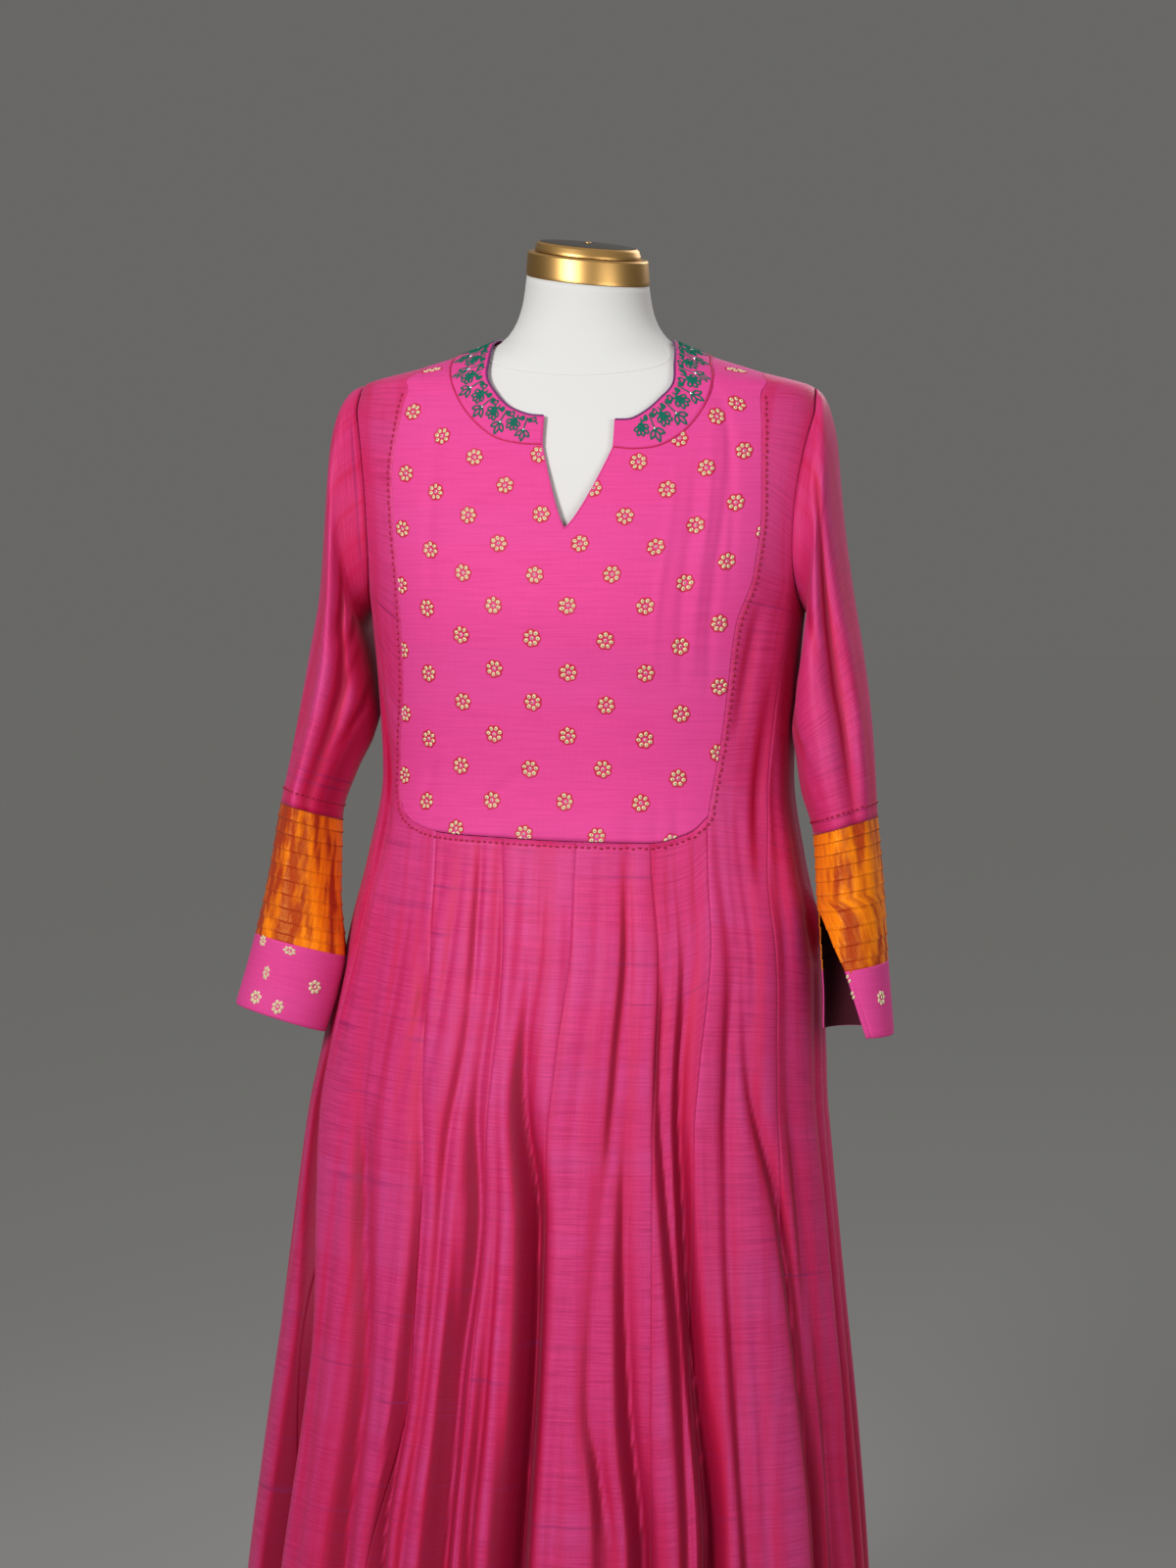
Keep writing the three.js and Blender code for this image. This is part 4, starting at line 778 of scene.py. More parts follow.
# The yoke's creases, with the columns of CREASES.
YOKE_CREASES = [
    [22, 1300, 21, 1120, 1.2, -1.6],
    [27, 1310, 29, 1100, 1.4, 1.8],
    [31, 1330, 33, 1110, 1.3, -1.7],
    [36, 1350, 38, 1090, 1.6, 1.9],
    [33, 1385, 43, 1180, 1.4, 1.6],
    [-30, 1340, -34, 1180, 2.2, 1.1],
    [-8, 1040, -22, 1000, 3.0, 1.2],
    [-36, 1050, -42, 1000, 2.4, 1.2],
]


def yoke_points(angle, z, lift=0.0):
    """Places on the yoke, or lifted from it."""
    sink = crease_depth(angle, z, YOKE_CREASES)
    return body(angle, z, sink) + body_normal(angle, z) * np.asarray(lift)[..., None]


right_angle, right_z = yoke_half(BAND_RIGHT, YOKE_SIDE_RIGHT, 1)
left_angle, left_z = yoke_half(BAND_LEFT, YOKE_SIDE_LEFT, -1)
rows, columns = right_angle.shape
centre_rows = 61  # rows from the foot to the slit, where the halves share the centre line
angle = np.concatenate([right_angle, left_angle], axis=1)
points = yoke_points(angle, np.concatenate([right_z, left_z], axis=1))
faces, _ = grid_faces(rows, 2 * columns, False)
between = faces[:, 0] % (2 * columns) == columns - 1
merged = np.arange(rows * 2 * columns).reshape(rows, 2 * columns)
merged[:centre_rows, columns] = merged[:centre_rows, columns - 1]
points, faces = compact(points.reshape(-1, 3), merged.ravel()[faces[~between]])
flat_uv = points[faces.ravel()][:, [0, 2]] * MM
pieces["yoke_front"] = thicken(make_mesh("yoke_front", points, faces, PINK, flat_uv))

# The neckband
ring = BAND_LEFT + BAND_BACK[1:] + [[360 - a, b, 360 - c, d] for a, b, c, d in BAND_BACK[-2:0:-1]]
ring = np.array(ring + [[360 + a, b, 360 + c, d] for a, b, c, d in BAND_RIGHT[::-1]], float)
knots = np.arange(len(ring))


def spline(values, q):
    """Cubic through values at 0, 1, 2 and so on, with the tangent (next - last) / 2 at each."""
    tangent = np.gradient(values, axis=0)
    k = np.clip(np.floor(q).astype(int), 0, len(values) - 2)
    t = (q - k)[..., None]
    keep = 2 * t**3 - 3 * t**2 + 1
    rise = (t**3 - 2 * t**2 + t) * tangent[k] + (t**3 - t**2) * tangent[k + 1]
    return keep * values[k] + (1 - keep) * values[k + 1] + rise


free_knots, joined_knots = body(ring[:, 2], ring[:, 3]), body(ring[:, 0], ring[:, 1])


def band_point(share, across, lift=0.0):
    """A place on the neckband: the share of the way round it, and from the joined edge (0) to the free edge
    (1). It lies on the garment, moved so that both edges are smooth curves through their knots."""
    q = np.asarray(share, float) * (len(ring) - 1)
    q, across, lift = np.broadcast_arrays(q, across, lift)
    a0, z0, a1, z1 = [smooth(knots, ring[:, k], q) for k in range(4)]
    a, zz = a0 + (a1 - a0) * across, z0 + (z1 - z0) * across
    bend = (spline(free_knots, q) - body(a1, z1)) * (np.clip(across, 0, 1) ** 1.5)[..., None]
    bend += (spline(joined_knots, q) - body(a0, z0)) * (np.clip(1 - across, 0, 1) ** 1.5)[..., None]
    return body(a, zz) + bend + body_normal(a, zz) * lift[..., None]


across = np.array([0, 0.02, 0.045, 0.08, 0.14, 0.25, 0.4, 0.55, 0.7, 0.82, 0.9, 0.95, 0.98, 1.0])[:, None]
lift = 0.9 - 1.5 * np.exp(-((across / 0.03) ** 2)) - 0.8 * np.exp(-(((1 - across) / 0.03) ** 2))
round_band = np.linspace(0, 1, 300)
points = band_point(round_band[None, :], across, lift)
pieces["neckband"] = grid_piece("neckband", points, PINK, (20, 0), thickness=1.3)
band_run = run_along(band_point(round_band, 0.5))

# The sleeves. Columns: x and height of the outer side, x and height of the inner side, middle y, half depth
# from front to back, lift of the front edge for each mm of half depth.
SLEEVES = {
    "right": [
        [-196, 1364, -187, 1170, 0, 60, 0],
        [-206, 1359, -194, 1163, 0, 62, 0],
        [-215, 1347, -198, 1156, 0, 64, 0],
        [-221, 1324, -196, 1147, -1, 66, 0],
        [-224, 1290, -193, 1135, -2, 68, 0],
        [-227, 1240, -190, 1118, -4, 69, 0],
        [-231, 1187, -187, 1099, -8, 68, 0.02],
        [-239, 1137, -184, 1080, -14, 64, 0.05],
        [-246, 1090, -188, 1060, -22, 59, 0.08],
        [-253, 1047, -202, 1029, -30, 54, 0.1],
        [-262, 1002, -214, 988, -37, 50, 0.11],
        [-272, 941, -213, 927, -46, 46, 0.12],
        [-282, 889, -206, 871, -56, 42, 0.14],
        [-289, 857, -211, 840, -61, 39, 0.15],
        [-296, 828, -221, 806, -67, 36, 0.16],
    ],
    "left": [
        [196, 1358, 187, 1170, 0, 60, 0],
        [202, 1351, 193, 1163, 0, 62, 0],
        [208, 1338, 194, 1156, 0, 64, 0],
        [214, 1314, 192, 1145, -1, 66, 0],
        [217, 1284, 189, 1133, -2, 68, 0],
        [222, 1236, 186, 1116, -4, 69, 0],
        [230, 1182, 182, 1094, -8, 68, 0.01],
        [239, 1131, 180, 1070, -14, 64, 0.02],
        [246, 1082, 185, 1046, -22, 59, 0.03],
        [250, 1040, 191, 1016, -30, 54, 0.03],
        [253, 996, 202, 981, -37, 50, 0.03],
        [259, 942, 206, 932, -46, 46, 0.02],
        [264, 877, 210, 868, -56, 42, 0.01],
        [267, 847, 211, 843, -61, 39, 0],
        [270, 817, 211, 818, -67, 36, 0],
    ],
}
BAND_ROW, CUFF_ROW, END_ROW = 10, 12, 14

# Creases of the sleeves. Columns: angle round the sleeve where the crease starts and ends (0 outer, 90
# front, 180 inner, 270 back), half width in degrees, depth (a ridge is minus), rows where it starts, is
# deepest and ends.
SLEEVE_CREASES = {
    "right": [
        [82, 84, 12, -6, 2, 7, 12], [112, 106, 13, 9, 1.6, 6, 12], [150, 150, 20, 4, 5, 8, 13],
        [52, 52, 20, 4, 4, 8, 12], [150, 118, 7, 5, 2.6, 4, 6], [134, 104, 9, -4, 2.4, 4, 6.5],
        [262, 262, 26, -5, 4, 8, 13], [220, 220, 24, 5, 4, 7, 11], [310, 310, 24, 4, 3, 7, 12],
        [20, 20, 20, 2, 8, 11, 14], [150, 60, 9, 3, 2, 4.5, 8], [165, 90, 8, 2.6, 3, 5.5, 9],
        [170, 110, 8, 2.4, 5, 7, 10], [35, 60, 8, 2, 1, 3, 7], [200, 280, 10, 3, 3, 6, 9],
    ],
    "left": [
        [72, 62, 11, 10, 1.6, 6, 11.5], [44, 40, 12, -4, 3, 8, 12], [98, 92, 16, -5, 3, 8, 12],
        [122, 116, 20, -7, 3, 7, 12], [160, 160, 20, 5, 2, 4, 9], [24, 30, 30, -5, 0.4, 2.2, 5],
        [66, 84, 9, 3, 1, 2.6, 5], [118, 96, 8, 3, 2, 4, 6], [262, 262, 26, -5, 4, 8, 13],
        [222, 222, 24, 5, 4, 7, 11], [308, 308, 24, 4, 3, 7, 12], [30, 30, 20, 3, 1, 3, 8],
        [150, 60, 9, 3, 2, 4.5, 8], [170, 100, 8, 2.4, 5, 7, 10], [200, 280, 10, 3, 3, 6, 9],
    ],
}
FADE_ROWS = 3
SLEEVE_LIFT = 0.2


def armhole_point(side, turn):
    """The place on a sleeve's top edge, on the garment beside the armhole."""
    sign = 1 if side == "left" else -1
    c, s = np.cos(np.radians(turn)), np.sin(np.radians(turn))
    reach = np.where(s > 0, ARMHOLE_FRONT, ARMHOLE_BACK) * 0.99
    a, z = sign * (90 - reach * s), ARMHOLE_Z + ARMHOLE_UP * 0.99 * c
    return body(a, z) + body_normal(a, z) * SLEEVE_LIFT


def sleeve(side, turn, row, out=0.0):
    """A point on a sleeve: an oval with its outer and inner sides from the table, moved in by the creases,
    and near row 0 faded into the armhole's outline. A turn of 0 is the outer side and 90 the front."""
    turn, row = np.broadcast_arrays(np.asarray(turn, float), np.asarray(row, float))
    table = np.asarray(SLEEVES[side], float)
    index = np.arange(len(table))

    def section(r):
        ox, oz, ix, iz, mid_y, half, lift = [smooth(index, table[:, k], r) for k in range(7)]
        c, s = np.cos(np.radians(turn)), np.sin(np.radians(turn))
        x, z = ix + (ox - ix) * (1 + c) / 2, iz + (oz - iz) * (1 + c) / 2
        middle = np.stack([(ox + ix) / 2, mid_y, (oz + iz) / 2], axis=-1)
        return np.stack([x, mid_y - half * s, z + half * lift * s], axis=-1), middle

    points, middle = section(row)
    depth = np.zeros(turn.shape)
    for start_turn, end_turn, width, deep, start, deepest, end in SLEEVE_CREASES[side]:
        t = np.where(row < deepest, (row - start) / (deepest - start), (end - row) / (end - deepest))
        t = np.clip(t, 0, 1)
        at = start_turn + (end_turn - start_turn) * np.clip((row - start) / (end - start), 0, 1)
        depth += deep * t * t * (3 - 2 * t) * np.exp(-((turn_off(turn, at) / width) ** 2))
    out = out + 1.4 * (1 - np.exp(-((row / 0.12) ** 2)))
    points = points + unit(points - middle) * (out - depth)[..., None]
    fade = np.clip(1 - row / FADE_ROWS, 0, 1)[..., None] ** 1.5
    return points + (armhole_point(side, turn) - section(0 * row)[0]) * fade


def painted_sleeve_shade(side, turn, row):
    """How much painted shade a sleeve gets, from 0 to 1: a share of crimson all over, painted shade in its
    hollows, and more painted shade on all the side by the body.
    """
    middle = sleeve(side, turn, row)
    step = sleeve(side, turn + 8, row) + sleeve(side, turn - 8, row) - 2 * middle
    outward = unit(middle - middle.mean(axis=1, keepdims=True))
    # Painted shade on the side by the body, from the front round the inner side to the back.
    across = np.clip((turn - 84) / 26, 0, 1) * np.clip((250 - turn) / 40, 0, 1)
    return np.clip(0.42 + (step * outward).sum(axis=-1) * 0.12 + 0.28 * across, 0, 0.92)


TUCKS = 10
# The slit in the left band and cuff. Columns: row, turns of the front flap's edge and the back flap's edge.
SLIT = [[11.1, 184, 184], [11.3, 142, 186], [11.6, 118, 188], [12, 98, 191], [13, 84, 195], [14, 69, 198]]


def flap_turns(side, row, count=112):
    """Turns from the back flap's edge round the outer side to the front flap's edge. The edges meet above the
    slit, and on the right sleeve, which has none."""
    if side == "left":
        front, back = along(SLIT, 1, row), along(SLIT, 2, row)
    else:
        front = back = 200 + 0 * row
    share = np.linspace(0, 1, count)[None, :] ** 0.8
    return back + (360 + front - back) * share


for side, hand in (("right", -1), ("left", 1)):
    turns = (-hand * np.linspace(0, 360, 120, endpoint=False))[None, :]
    row = BAND_ROW * (np.linspace(1, 0, 120)[:, None] ** 1.15)
    name = f"sleeve_{side}"
    # The sleeve's silk carries painted shade in its hollows and on the side by the body.
    points, shade = sleeve(side, turns, row), painted_sleeve_shade(side, turns, row)
    pieces[name] = grid_piece(name, points, SILK, (30 + hand, 0.2), shade, closed=True, inside=SHADED_INSIDE)
    # The band: each tuck rises at once and falls away slowly, and the lowest one ends over the cuff's edge.
    t = np.linspace(0, 1, 171)[:, None]
    phase = (t * TUCKS) % 1
    rise = np.minimum(phase / 0.07, 1) * (0.55 * (1 - phase) + 0.7 * np.exp(-((phase / 0.14) ** 2)))
    row = CUFF_ROW + 0.05 + (BAND_ROW - CUFF_ROW - 0.045) * t
    rise = rise * np.clip((CUFF_ROW - row) / 0.02, 0, 1)
    turns = flap_turns(side, row)[:, :: -hand]
    name = f"sleeve_band_{side}"
    points = sleeve(side, turns, row, rise)
    pieces[name] = grid_piece(name, points, ORANGE, (40 + hand, 0.2), inside=SHADED_INSIDE)
    # The cuff: rolled in a little at its hem and, on the left, beside the slit.
    row = np.linspace(END_ROW, CUFF_ROW, 46)[:, None]
    turns = flap_turns(side, row)[:, :: -hand]
    points = sleeve(side, turns, row, 0.3)
    edge = np.linalg.norm(points - points[:, :1], axis=2)
    turn_in = 0.9 * np.exp(-(((edge - 5) / 0.7) ** 2)) if side == "left" else 0
    hem = 0.5 * np.exp(-(((END_ROW - row) / 0.06) ** 2))
    name = f"cuff_{side}"
    points = sleeve(side, turns, row, 0.3 - turn_in - hem)
    pieces[name] = grid_piece(name, points, PINK, (50 + hand, 0.3), thickness=CLOTH + 0.3, inside=SHADED_INSIDE)

# The dress form and its stand. Columns: height, half width, front depth, back depth, roundness.
FORM = [
    [782, 158, 112, 108, 2.2],
    [800, 168, 117, 114, 2.2],
    [860, 172, 119, 119, 2.2],
    [950, 150, 104, 102, 2.2],
    [1030, 127, 92, 86, 2.2],
    [1100, 145, 108, 94, 2.25],
    [1150, 165, 119, 107, 2.3],
    [1200, 172, 113, 111.5, 2.35],
    [1250, 177, 102, 111.5, 2.4],
    [1300, 180, 89.5, 103.5, 2.4],
    [1335, 182, 77, 91, 2.3],
    [1350.2, 180, 71, 85.5, 2.2],
    [1358.2, 177, 67.5, 82, 2.1],
    [1372, 147, 62.5, 75.5, 2.1],
    [1386.8, 100, 57.5, 68.5, 2.1],
    [1397.6, 75, 52.5, 60.5, 2.1],
    [1405.5, 67, 50.5, 56, 2.05],
    [1415, 61, 50, 53.5, 2],
    [1430, 56, 49, 50, 2],
    [1452, 52.6, 49, 49, 2],
]
LEAN_FRONT, LEAN_SIDE, LEAN_FROM, LEAN_TO = 0.16, 0.115, 1400, 1452


def capped(rings, name, material):
    """A closed body from rings of points, low to high, with a fan at each end."""
    rows, sides = rings.shape[:2]
    faces, _ = grid_faces(rows, sides, True)
    points = np.concatenate([rings.reshape(-1, 3), rings[:1].mean(axis=1), rings[-1:].mean(axis=1)])
    j = np.arange(sides)
    k = (j + 1) % sides
    end = rows * sides + 0 * j
    top = end - sides
    fans = [np.stack([end, k, j], axis=1), np.stack([end + 1, top + j, top + k], axis=1)]
    triangles = np.concatenate([faces[:, [0, 1, 2]], faces[:, [0, 2, 3]], *fans])
    return make_mesh(name, points, triangles, material)


def form_point(angle, z):
    """Points of the dress form: a superellipse from its table, then z sheared so that the neck's top leans
    to the front and the side, and the shoulders tilt as the cloth's do."""
    half, front, back, power = [along(FORM, k, z) for k in range(1, 5)]
    x, y = superellipse(angle, half, np.where(np.cos(np.radians(angle)) >= 0, front, back), power)
    lean = np.clip((z - LEAN_FROM) / (LEAN_TO - LEAN_FROM), 0, 1)
    leaned = lean * (LEAN_FRONT * y - LEAN_SIDE * x)
    return np.stack([x, y, z + leaned + (1 - lean) * shoulder_tilt(x, z)], axis=-1)


form_angles = np.linspace(0, 360, 112, endpoint=False)[None, :]
form_heights = np.linspace(FORM[0][0], FORM[-1][0], 110)[:, None]
pieces["form_torso"] = capped(form_point(form_angles, form_heights), "form_torso", WHITE)


def rounded(outline, radius=0.6, steps=4):
    """An outline of [distance, height] with each inner corner cut back by the radius and bent in equal
    steps."""
    outline = np.asarray(outline, float)
    result = [outline[0]]
    for before, corner, after in zip(outline, outline[1:], outline[2:]):
        a, b = before - corner, after - corner
        cut = min(radius, np.linalg.norm(a) / 2.5, np.linalg.norm(b) / 2.5)
        start, end = corner + a / np.linalg.norm(a) * cut, corner + b / np.linalg.norm(b) * cut
        for t in np.linspace(0, 1, steps + 1):
            result.append((1 - t) ** 2 * start + 2 * t * (1 - t) * corner + t * t * end)
    return np.array(result + [outline[-1]])


def turned(name, outline, material, lean):
    """A body turned about the upright axis, or one on the neck's leaning top, which is a little oval."""
    outline = rounded(outline)
    turn = np.linspace(0, 2 * np.pi, 128, endpoint=False)[None, :]
    r, h = outline[1:-1, :1], outline[1:-1, 1:]
    x, y, z = r * np.cos(turn), r * np.sin(turn), h + 0 * turn
    if lean:
        y = y * 0.925
        z = z + LEAN_TO - LEAN_SIDE * x + LEAN_FRONT * y
    return capped(np.stack([x, y, z], axis=-1), name, material)


# Turned parts. Each outline is a row of [distance from the axis, height].
TURNED = {
    "cap_band": (GOLD, [[0, 0.4], [53.2, 0.4], [53.2, 3], [52, 20], [50.5, 21.2], [0, 21.2]]),
    "cap_disc": (
        GOLD, [[0, 21.6], [45.8, 21.6], [45.6, 24], [44, 28.6], [42, 30.2], [20, 31.4], [0, 31.6]],
    ),
    "cap_top": (DARK_CAP_TOP, [[0, 31.5], [20, 31.3], [41.2, 30.2], [41.6, 30.4], [20, 31.6], [0, 31.8]]),
    "cap_screw": (GOLD, [[0, 31.5], [2.8, 31.5], [2.8, 32.4], [1.6, 33], [0, 33.1]]),
    "stand_plate": (BLACK, [[0, 0], [198, 0], [200, 2], [200, 7], [196, 11], [70, 14], [0, 14]]),
    "stand_socket": (BLACK, [[0, 14.4], [30, 14.4], [28, 20], [20, 40], [18, 44], [0, 44]]),
    "stand_tube": (BLACK, [[0, 44.4], [14, 44.4], [14, 768], [0, 768]]),
    "stand_flange": (BLACK, [[0, 768.4], [24, 768.4], [48, 776], [48, 781.5], [0, 781.5]]),
}
for name, (material, outline) in TURNED.items():
    group = trims if name in ("cap_top", "cap_screw") else pieces
    group[name] = turned(name, outline, material, lean=name.startswith("cap"))

# Sewn work: flowers, running stitches and the neckband's embroidery


def join(parts):
    """Points and faces of several [points, faces] as one."""
    start = np.cumsum([0] + [len(p) for p, _ in parts[:-1]])
    return np.concatenate([p for p, _ in parts]), np.concatenate([f + k for (_, f), k in zip(parts, start)])


def domed_faces(rings, sides):
    """Quads of closed rings and of a fan to a middle point, which comes after the last ring."""
    faces, _ = grid_faces(rings, sides, True)
    j = np.arange(sides)
    last = (rings - 1) * sides
    middle = rings * sides + 0 * j
    return np.concatenate([faces, np.stack([last + j, last + (j + 1) % sides, middle, middle], axis=1)])


def pad(cx, cy, length, width, turn, high, sides=10):
    """A stitched oval, as local points (across, up, out) and faces: two rings and a middle, domed."""
    phi = np.linspace(0, 2 * np.pi, sides, endpoint=False)
    rings = []
    for size, out in ((1.0, 0.05), (0.68, 0.8), (0.22, 0.72)):
        u, v = length / 2 * size * np.cos(phi), width / 2 * size * np.sin(phi)
        c, q = np.cos(turn), np.sin(turn)
        rings.append(np.stack([cx + u * c - v * q, cy + u * q + v * c, high * out + 0 * u], axis=1))
    return np.concatenate(rings + [[[cx, cy, high * 0.45]]]), domed_faces(3, sides)


def backing(petals, radius, turn):
    """A scalloped ground with a raised rim, of rings at shares of r = radius (0.9 + 0.1 |cos(petals phi /
    2)|)."""
    phi = np.linspace(0, 2 * np.pi, petals * 6, endpoint=False)
    edge = radius * (0.9 + 0.1 * np.abs(np.cos(petals * (phi - turn) / 2)))
    rings = [np.stack([edge * k * np.cos(phi), edge * k * np.sin(phi), 0 * phi + out], axis=1)
             for k, out in ((1.0, 0.05), (0.95, 0.45), (0.86, 0.15), (0.3, 0.15))]
    return np.concatenate(rings + [[[0, 0, 0.15]]]), domed_faces(4, len(phi))


def flower(seed, far_out=4.95, long=3.9, broad=3.2):
    """Cream pads of a seven petalled flower, its crimson ground, and a dark dot on each pad, turned and
    varied a little by its seed."""
    turn = 0.9 * np.sin(seed * 2.3)
    pads = []
    for k in range(7):
        phi = turn + 2 * np.pi * k / 7
        far = far_out + 0.25 * np.sin(seed * 5 + k * 2)
        wide = broad + 0.25 * np.sin(seed + k * 4)
        lean = phi + 0.3 * np.sin(seed * 3 + k)
        pads.append(pad(far * np.cos(phi), far * np.sin(phi), long, wide, lean, 1.1))
    pads.append(pad(0.3 * np.sin(seed), 0.3 * np.cos(seed), 3.0, 2.3, seed, 1.1, 8))
    hearts = []
    for k, (points, _) in enumerate(pads):
        middle = points[-1]
        dot = pad(middle[0], middle[1], 1.5 if k < 7 else 1.9, 1.0, k * 2.0, 0.5, 6)
        hearts.append((dot[0] + [0, 0, 0.7], dot[1]))
    return join(pads), backing(7, 8.0, turn), join(hearts)


def within(outline, a, z):
    """Which places lie inside a closed outline of [angle, height], by counting the edges crossed."""
    a0, z0 = outline[:, 0], outline[:, 1]
    a1, z1 = np.roll(a0, -1), np.roll(z0, -1)
    z = z[:, None]
    spans = (z0 > z) != (z1 > z)
    rise = np.where(z1 == z0, 1, z1 - z0)
    crossed = spans & (a[:, None] < a0 + (z - z0) / rise * (a1 - a0))
    return crossed.sum(axis=1) % 2 == 1


def edge_line(table):
    """A smooth outline through a table's angles and heights."""
    return rows_through(table, [8] * (len(table) - 1))


foot_line = np.array([[a, foot_z(a)] for a in np.linspace(-50, 38, 60)])
yoke_outline = np.concatenate([
    foot_line, edge_line(YOKE_SIDE_LEFT), edge_line([row[:2] for row in BAND_LEFT])[::-1],
    [[0, SLIT_FOOT_Z]], edge_line([row[:2] for row in BAND_RIGHT]), edge_line(YOKE_SIDE_RIGHT)[::-1],
])

ANGLES = np.linspace(-64, 64, 161)


def angle_across(s, z):
    """The angle at which the cloth's running length from the centre line is s, at height z."""
    run = run_along(body(ANGLES, z))
    return np.interp(s + np.interp(0, ANGLES, run), run, ANGLES)


# The lattice of flowers in mm along the cloth, from a place near the centre line. Rows lie a little closer
# together higher up, columns drift to the wearer's left in the upper rows, and rows sag towards the sides.
LATTICE_ACROSS, LATTICE_X, LATTICE_Z = 62.8, 5.8, 1176
DRIFT_AT, DRIFT = [-60, -20, 2, 40, 100, 130], [1.4, 1.4, 4.4, 4.2, 3.2, 2.4]
SAG_AT, SAG = [-150, -120, -90, 68, 100, 133], [-12, -5, 0, -3, -9, -16]
profile_z = np.linspace(960, 1385, 300)
profile_run = run_along(body(20, profile_z))
profile_run -= np.interp(LATTICE_Z, profile_z, profile_run)


def lattice_place(row, column):
    """Running lengths across and up of a flower. Odd rows stand half a step beside the columns."""
    across = LATTICE_X + (column + 0.5 * (row % 2)) * LATTICE_ACROSS
    up = 27.2 * row if row < 0 else 26.3 * row - 0.27 * row**2
    drift = row * np.interp(across, DRIFT_AT, DRIFT) if row > 0 else min(0, 1.5 * (row + 3))
    sag = np.interp(across, SAG_AT, SAG)
    return across + drift + 1.2 * np.sin(column + row * 3), up + sag + np.sin(column * 2 + row)


# Flowers by the shoulders and the neck, off the lattice. Columns: row and column, then angle and height.
APART = {
    (8, -2): (-52.5, 1372), (8, 1): (59.2, 1373.5), (8, 2): (39.8, 1344), (7, -3): (-39.8, 1336),
    (6, 1): (22.5, 1313.5), (5, -1): (-4.6, 1299.5),
}

creams, grounds, hearts = [], [], []
for row_number in range(-8, 9):
    for column in range(-4, 5):
        across_mm, up_mm = lattice_place(row_number, column)
        z0 = np.interp(up_mm, profile_run, profile_z)
        a0, z0 = APART.get((row_number, column), (angle_across(across_mm, z0), z0))
        if not (-60 < a0 < 60 and 962 < z0 < 1384):
            continue
        rate = 2 / np.linalg.norm(body(a0 + 1, z0) - body(a0 - 1, z0))
        up = 2 / np.linalg.norm(body(a0, z0 + 1) - body(a0, z0 - 1))
        parts = flower(row_number * 1.7 + column * 2.9)
        outline = parts[1][0][:42]
        if within(yoke_outline, a0 + outline[:, 0] * rate, z0 + outline[:, 1] * up).mean() < 0.25:
            continue
        for kind, (local, faces) in zip((creams, grounds, hearts), parts):
            a, z = a0 + local[:, 0] * rate, z0 + local[:, 1] * up
            kept = within(yoke_outline, a, z)
            faces = faces[kept[faces].all(axis=1)]
            if len(faces):
                kind.append(compact(yoke_points(a, z, local[:, 2]), faces))
trims["yoke_petals"] = make_mesh("yoke_petals", *join(creams), CREAM)
trims["yoke_flower_grounds"] = make_mesh("yoke_flower_grounds", *join(grounds), CRIMSON)
trims["yoke_flower_hearts"] = make_mesh("yoke_flower_hearts", *join(hearts), HEART)


def stitch_row(path, normals, pitch, length, width, high, sides=8):
    """Short domed stitches along a path: each is an oval of points (along, across, out) laid on the
    path."""
    run = run_along(path)
    centres = np.arange(pitch / 2, run[-1], pitch)
    local, faces = pad(0, 0, length, width, 0, high, sides)
    wobble = 0.16 * width * np.sin(centres * 1.9) + 0.12 * width * np.sin(centres * 0.7)
    at = (centres[:, None] + local[:, 0] * (1 + 0.15 * np.sin(centres * 3.1))[:, None]).ravel()
    place = np.stack([np.interp(at, run, path[:, k]) for k in range(3)], axis=1)
    out = unit(np.stack([np.interp(at, run, normals[:, k]) for k in range(3)], axis=1))
    ahead = unit(np.stack([np.interp(at, run, np.gradient(path[:, k], run)) for k in range(3)], axis=1))
    across = np.cross(out, ahead)
    side = (local[None, :, 1] + wobble[:, None]).ravel()[:, None]
    high = np.tile(local[:, 2], len(centres))[:, None]
    faces = (faces[None] + np.arange(len(centres))[:, None, None] * len(local)).reshape(-1, 4)
    return place + across * side + out * high, faces


def away_from_middle(directions, path):
    """The directions, all turned round if they point to the middle of the path."""
    return directions * np.sign((directions * (path - path.mean(axis=0))).sum(axis=1).mean())


side_right, side_left = edge_line(YOKE_SIDE_RIGHT[:11]), edge_line(YOKE_SIDE_LEFT[:11])
seam = np.concatenate([side_right[::-1], foot_line[1:-1], side_left])
seam_points = body(seam[:, 0], seam[:, 1])
seam_normals = body_normal(seam[:, 0], seam[:, 1])
outward = away_from_middle(np.cross(seam_normals, unit(np.gradient(seam_points, axis=0))), seam_points)
sewn = stitch_row(seam_points + outward * 4.6, seam_normals, 5.3, 3.6, 2.0, 1.1)
trims["yoke_stitches"] = make_mesh("yoke_stitches", *sewn, STITCH)
for side in ("right", "left"):
    turns = np.linspace(0, 360, 240)
    row = BAND_ROW - 0.26 + 0 * turns
    line = sleeve(side, turns, row)
    outward = np.cross(unit(np.gradient(line, axis=0)), unit(sleeve(side, turns, row + 0.1) - line))
    sewn = stitch_row(line, away_from_middle(outward, line), 5.0, 3.6, 1.7, 1.3)
    trims[f"sleeve_stitches_{side}"] = make_mesh(f"sleeve_stitches_{side}", *sewn, STITCH)
    lines = []
    for k in range(1, TUCKS + 1):
        row = np.full((1, 1), CUFF_ROW + (BAND_ROW - CUFF_ROW) * (k - 0.04) / TUCKS)
        turns = flap_turns(side, row, 170)[0]
        path = sleeve(side, turns, row[0], 0.5)
        outward = unit(path - sleeve(side, turns, row[0], -3.0))
        lines.append(stitch_row(path, outward, 2.6, 1.5, 0.9, 0.5, 4))
    trims[f"tuck_stitches_{side}"] = make_mesh(f"tuck_stitches_{side}", *join(lines), TUCK_THREAD)

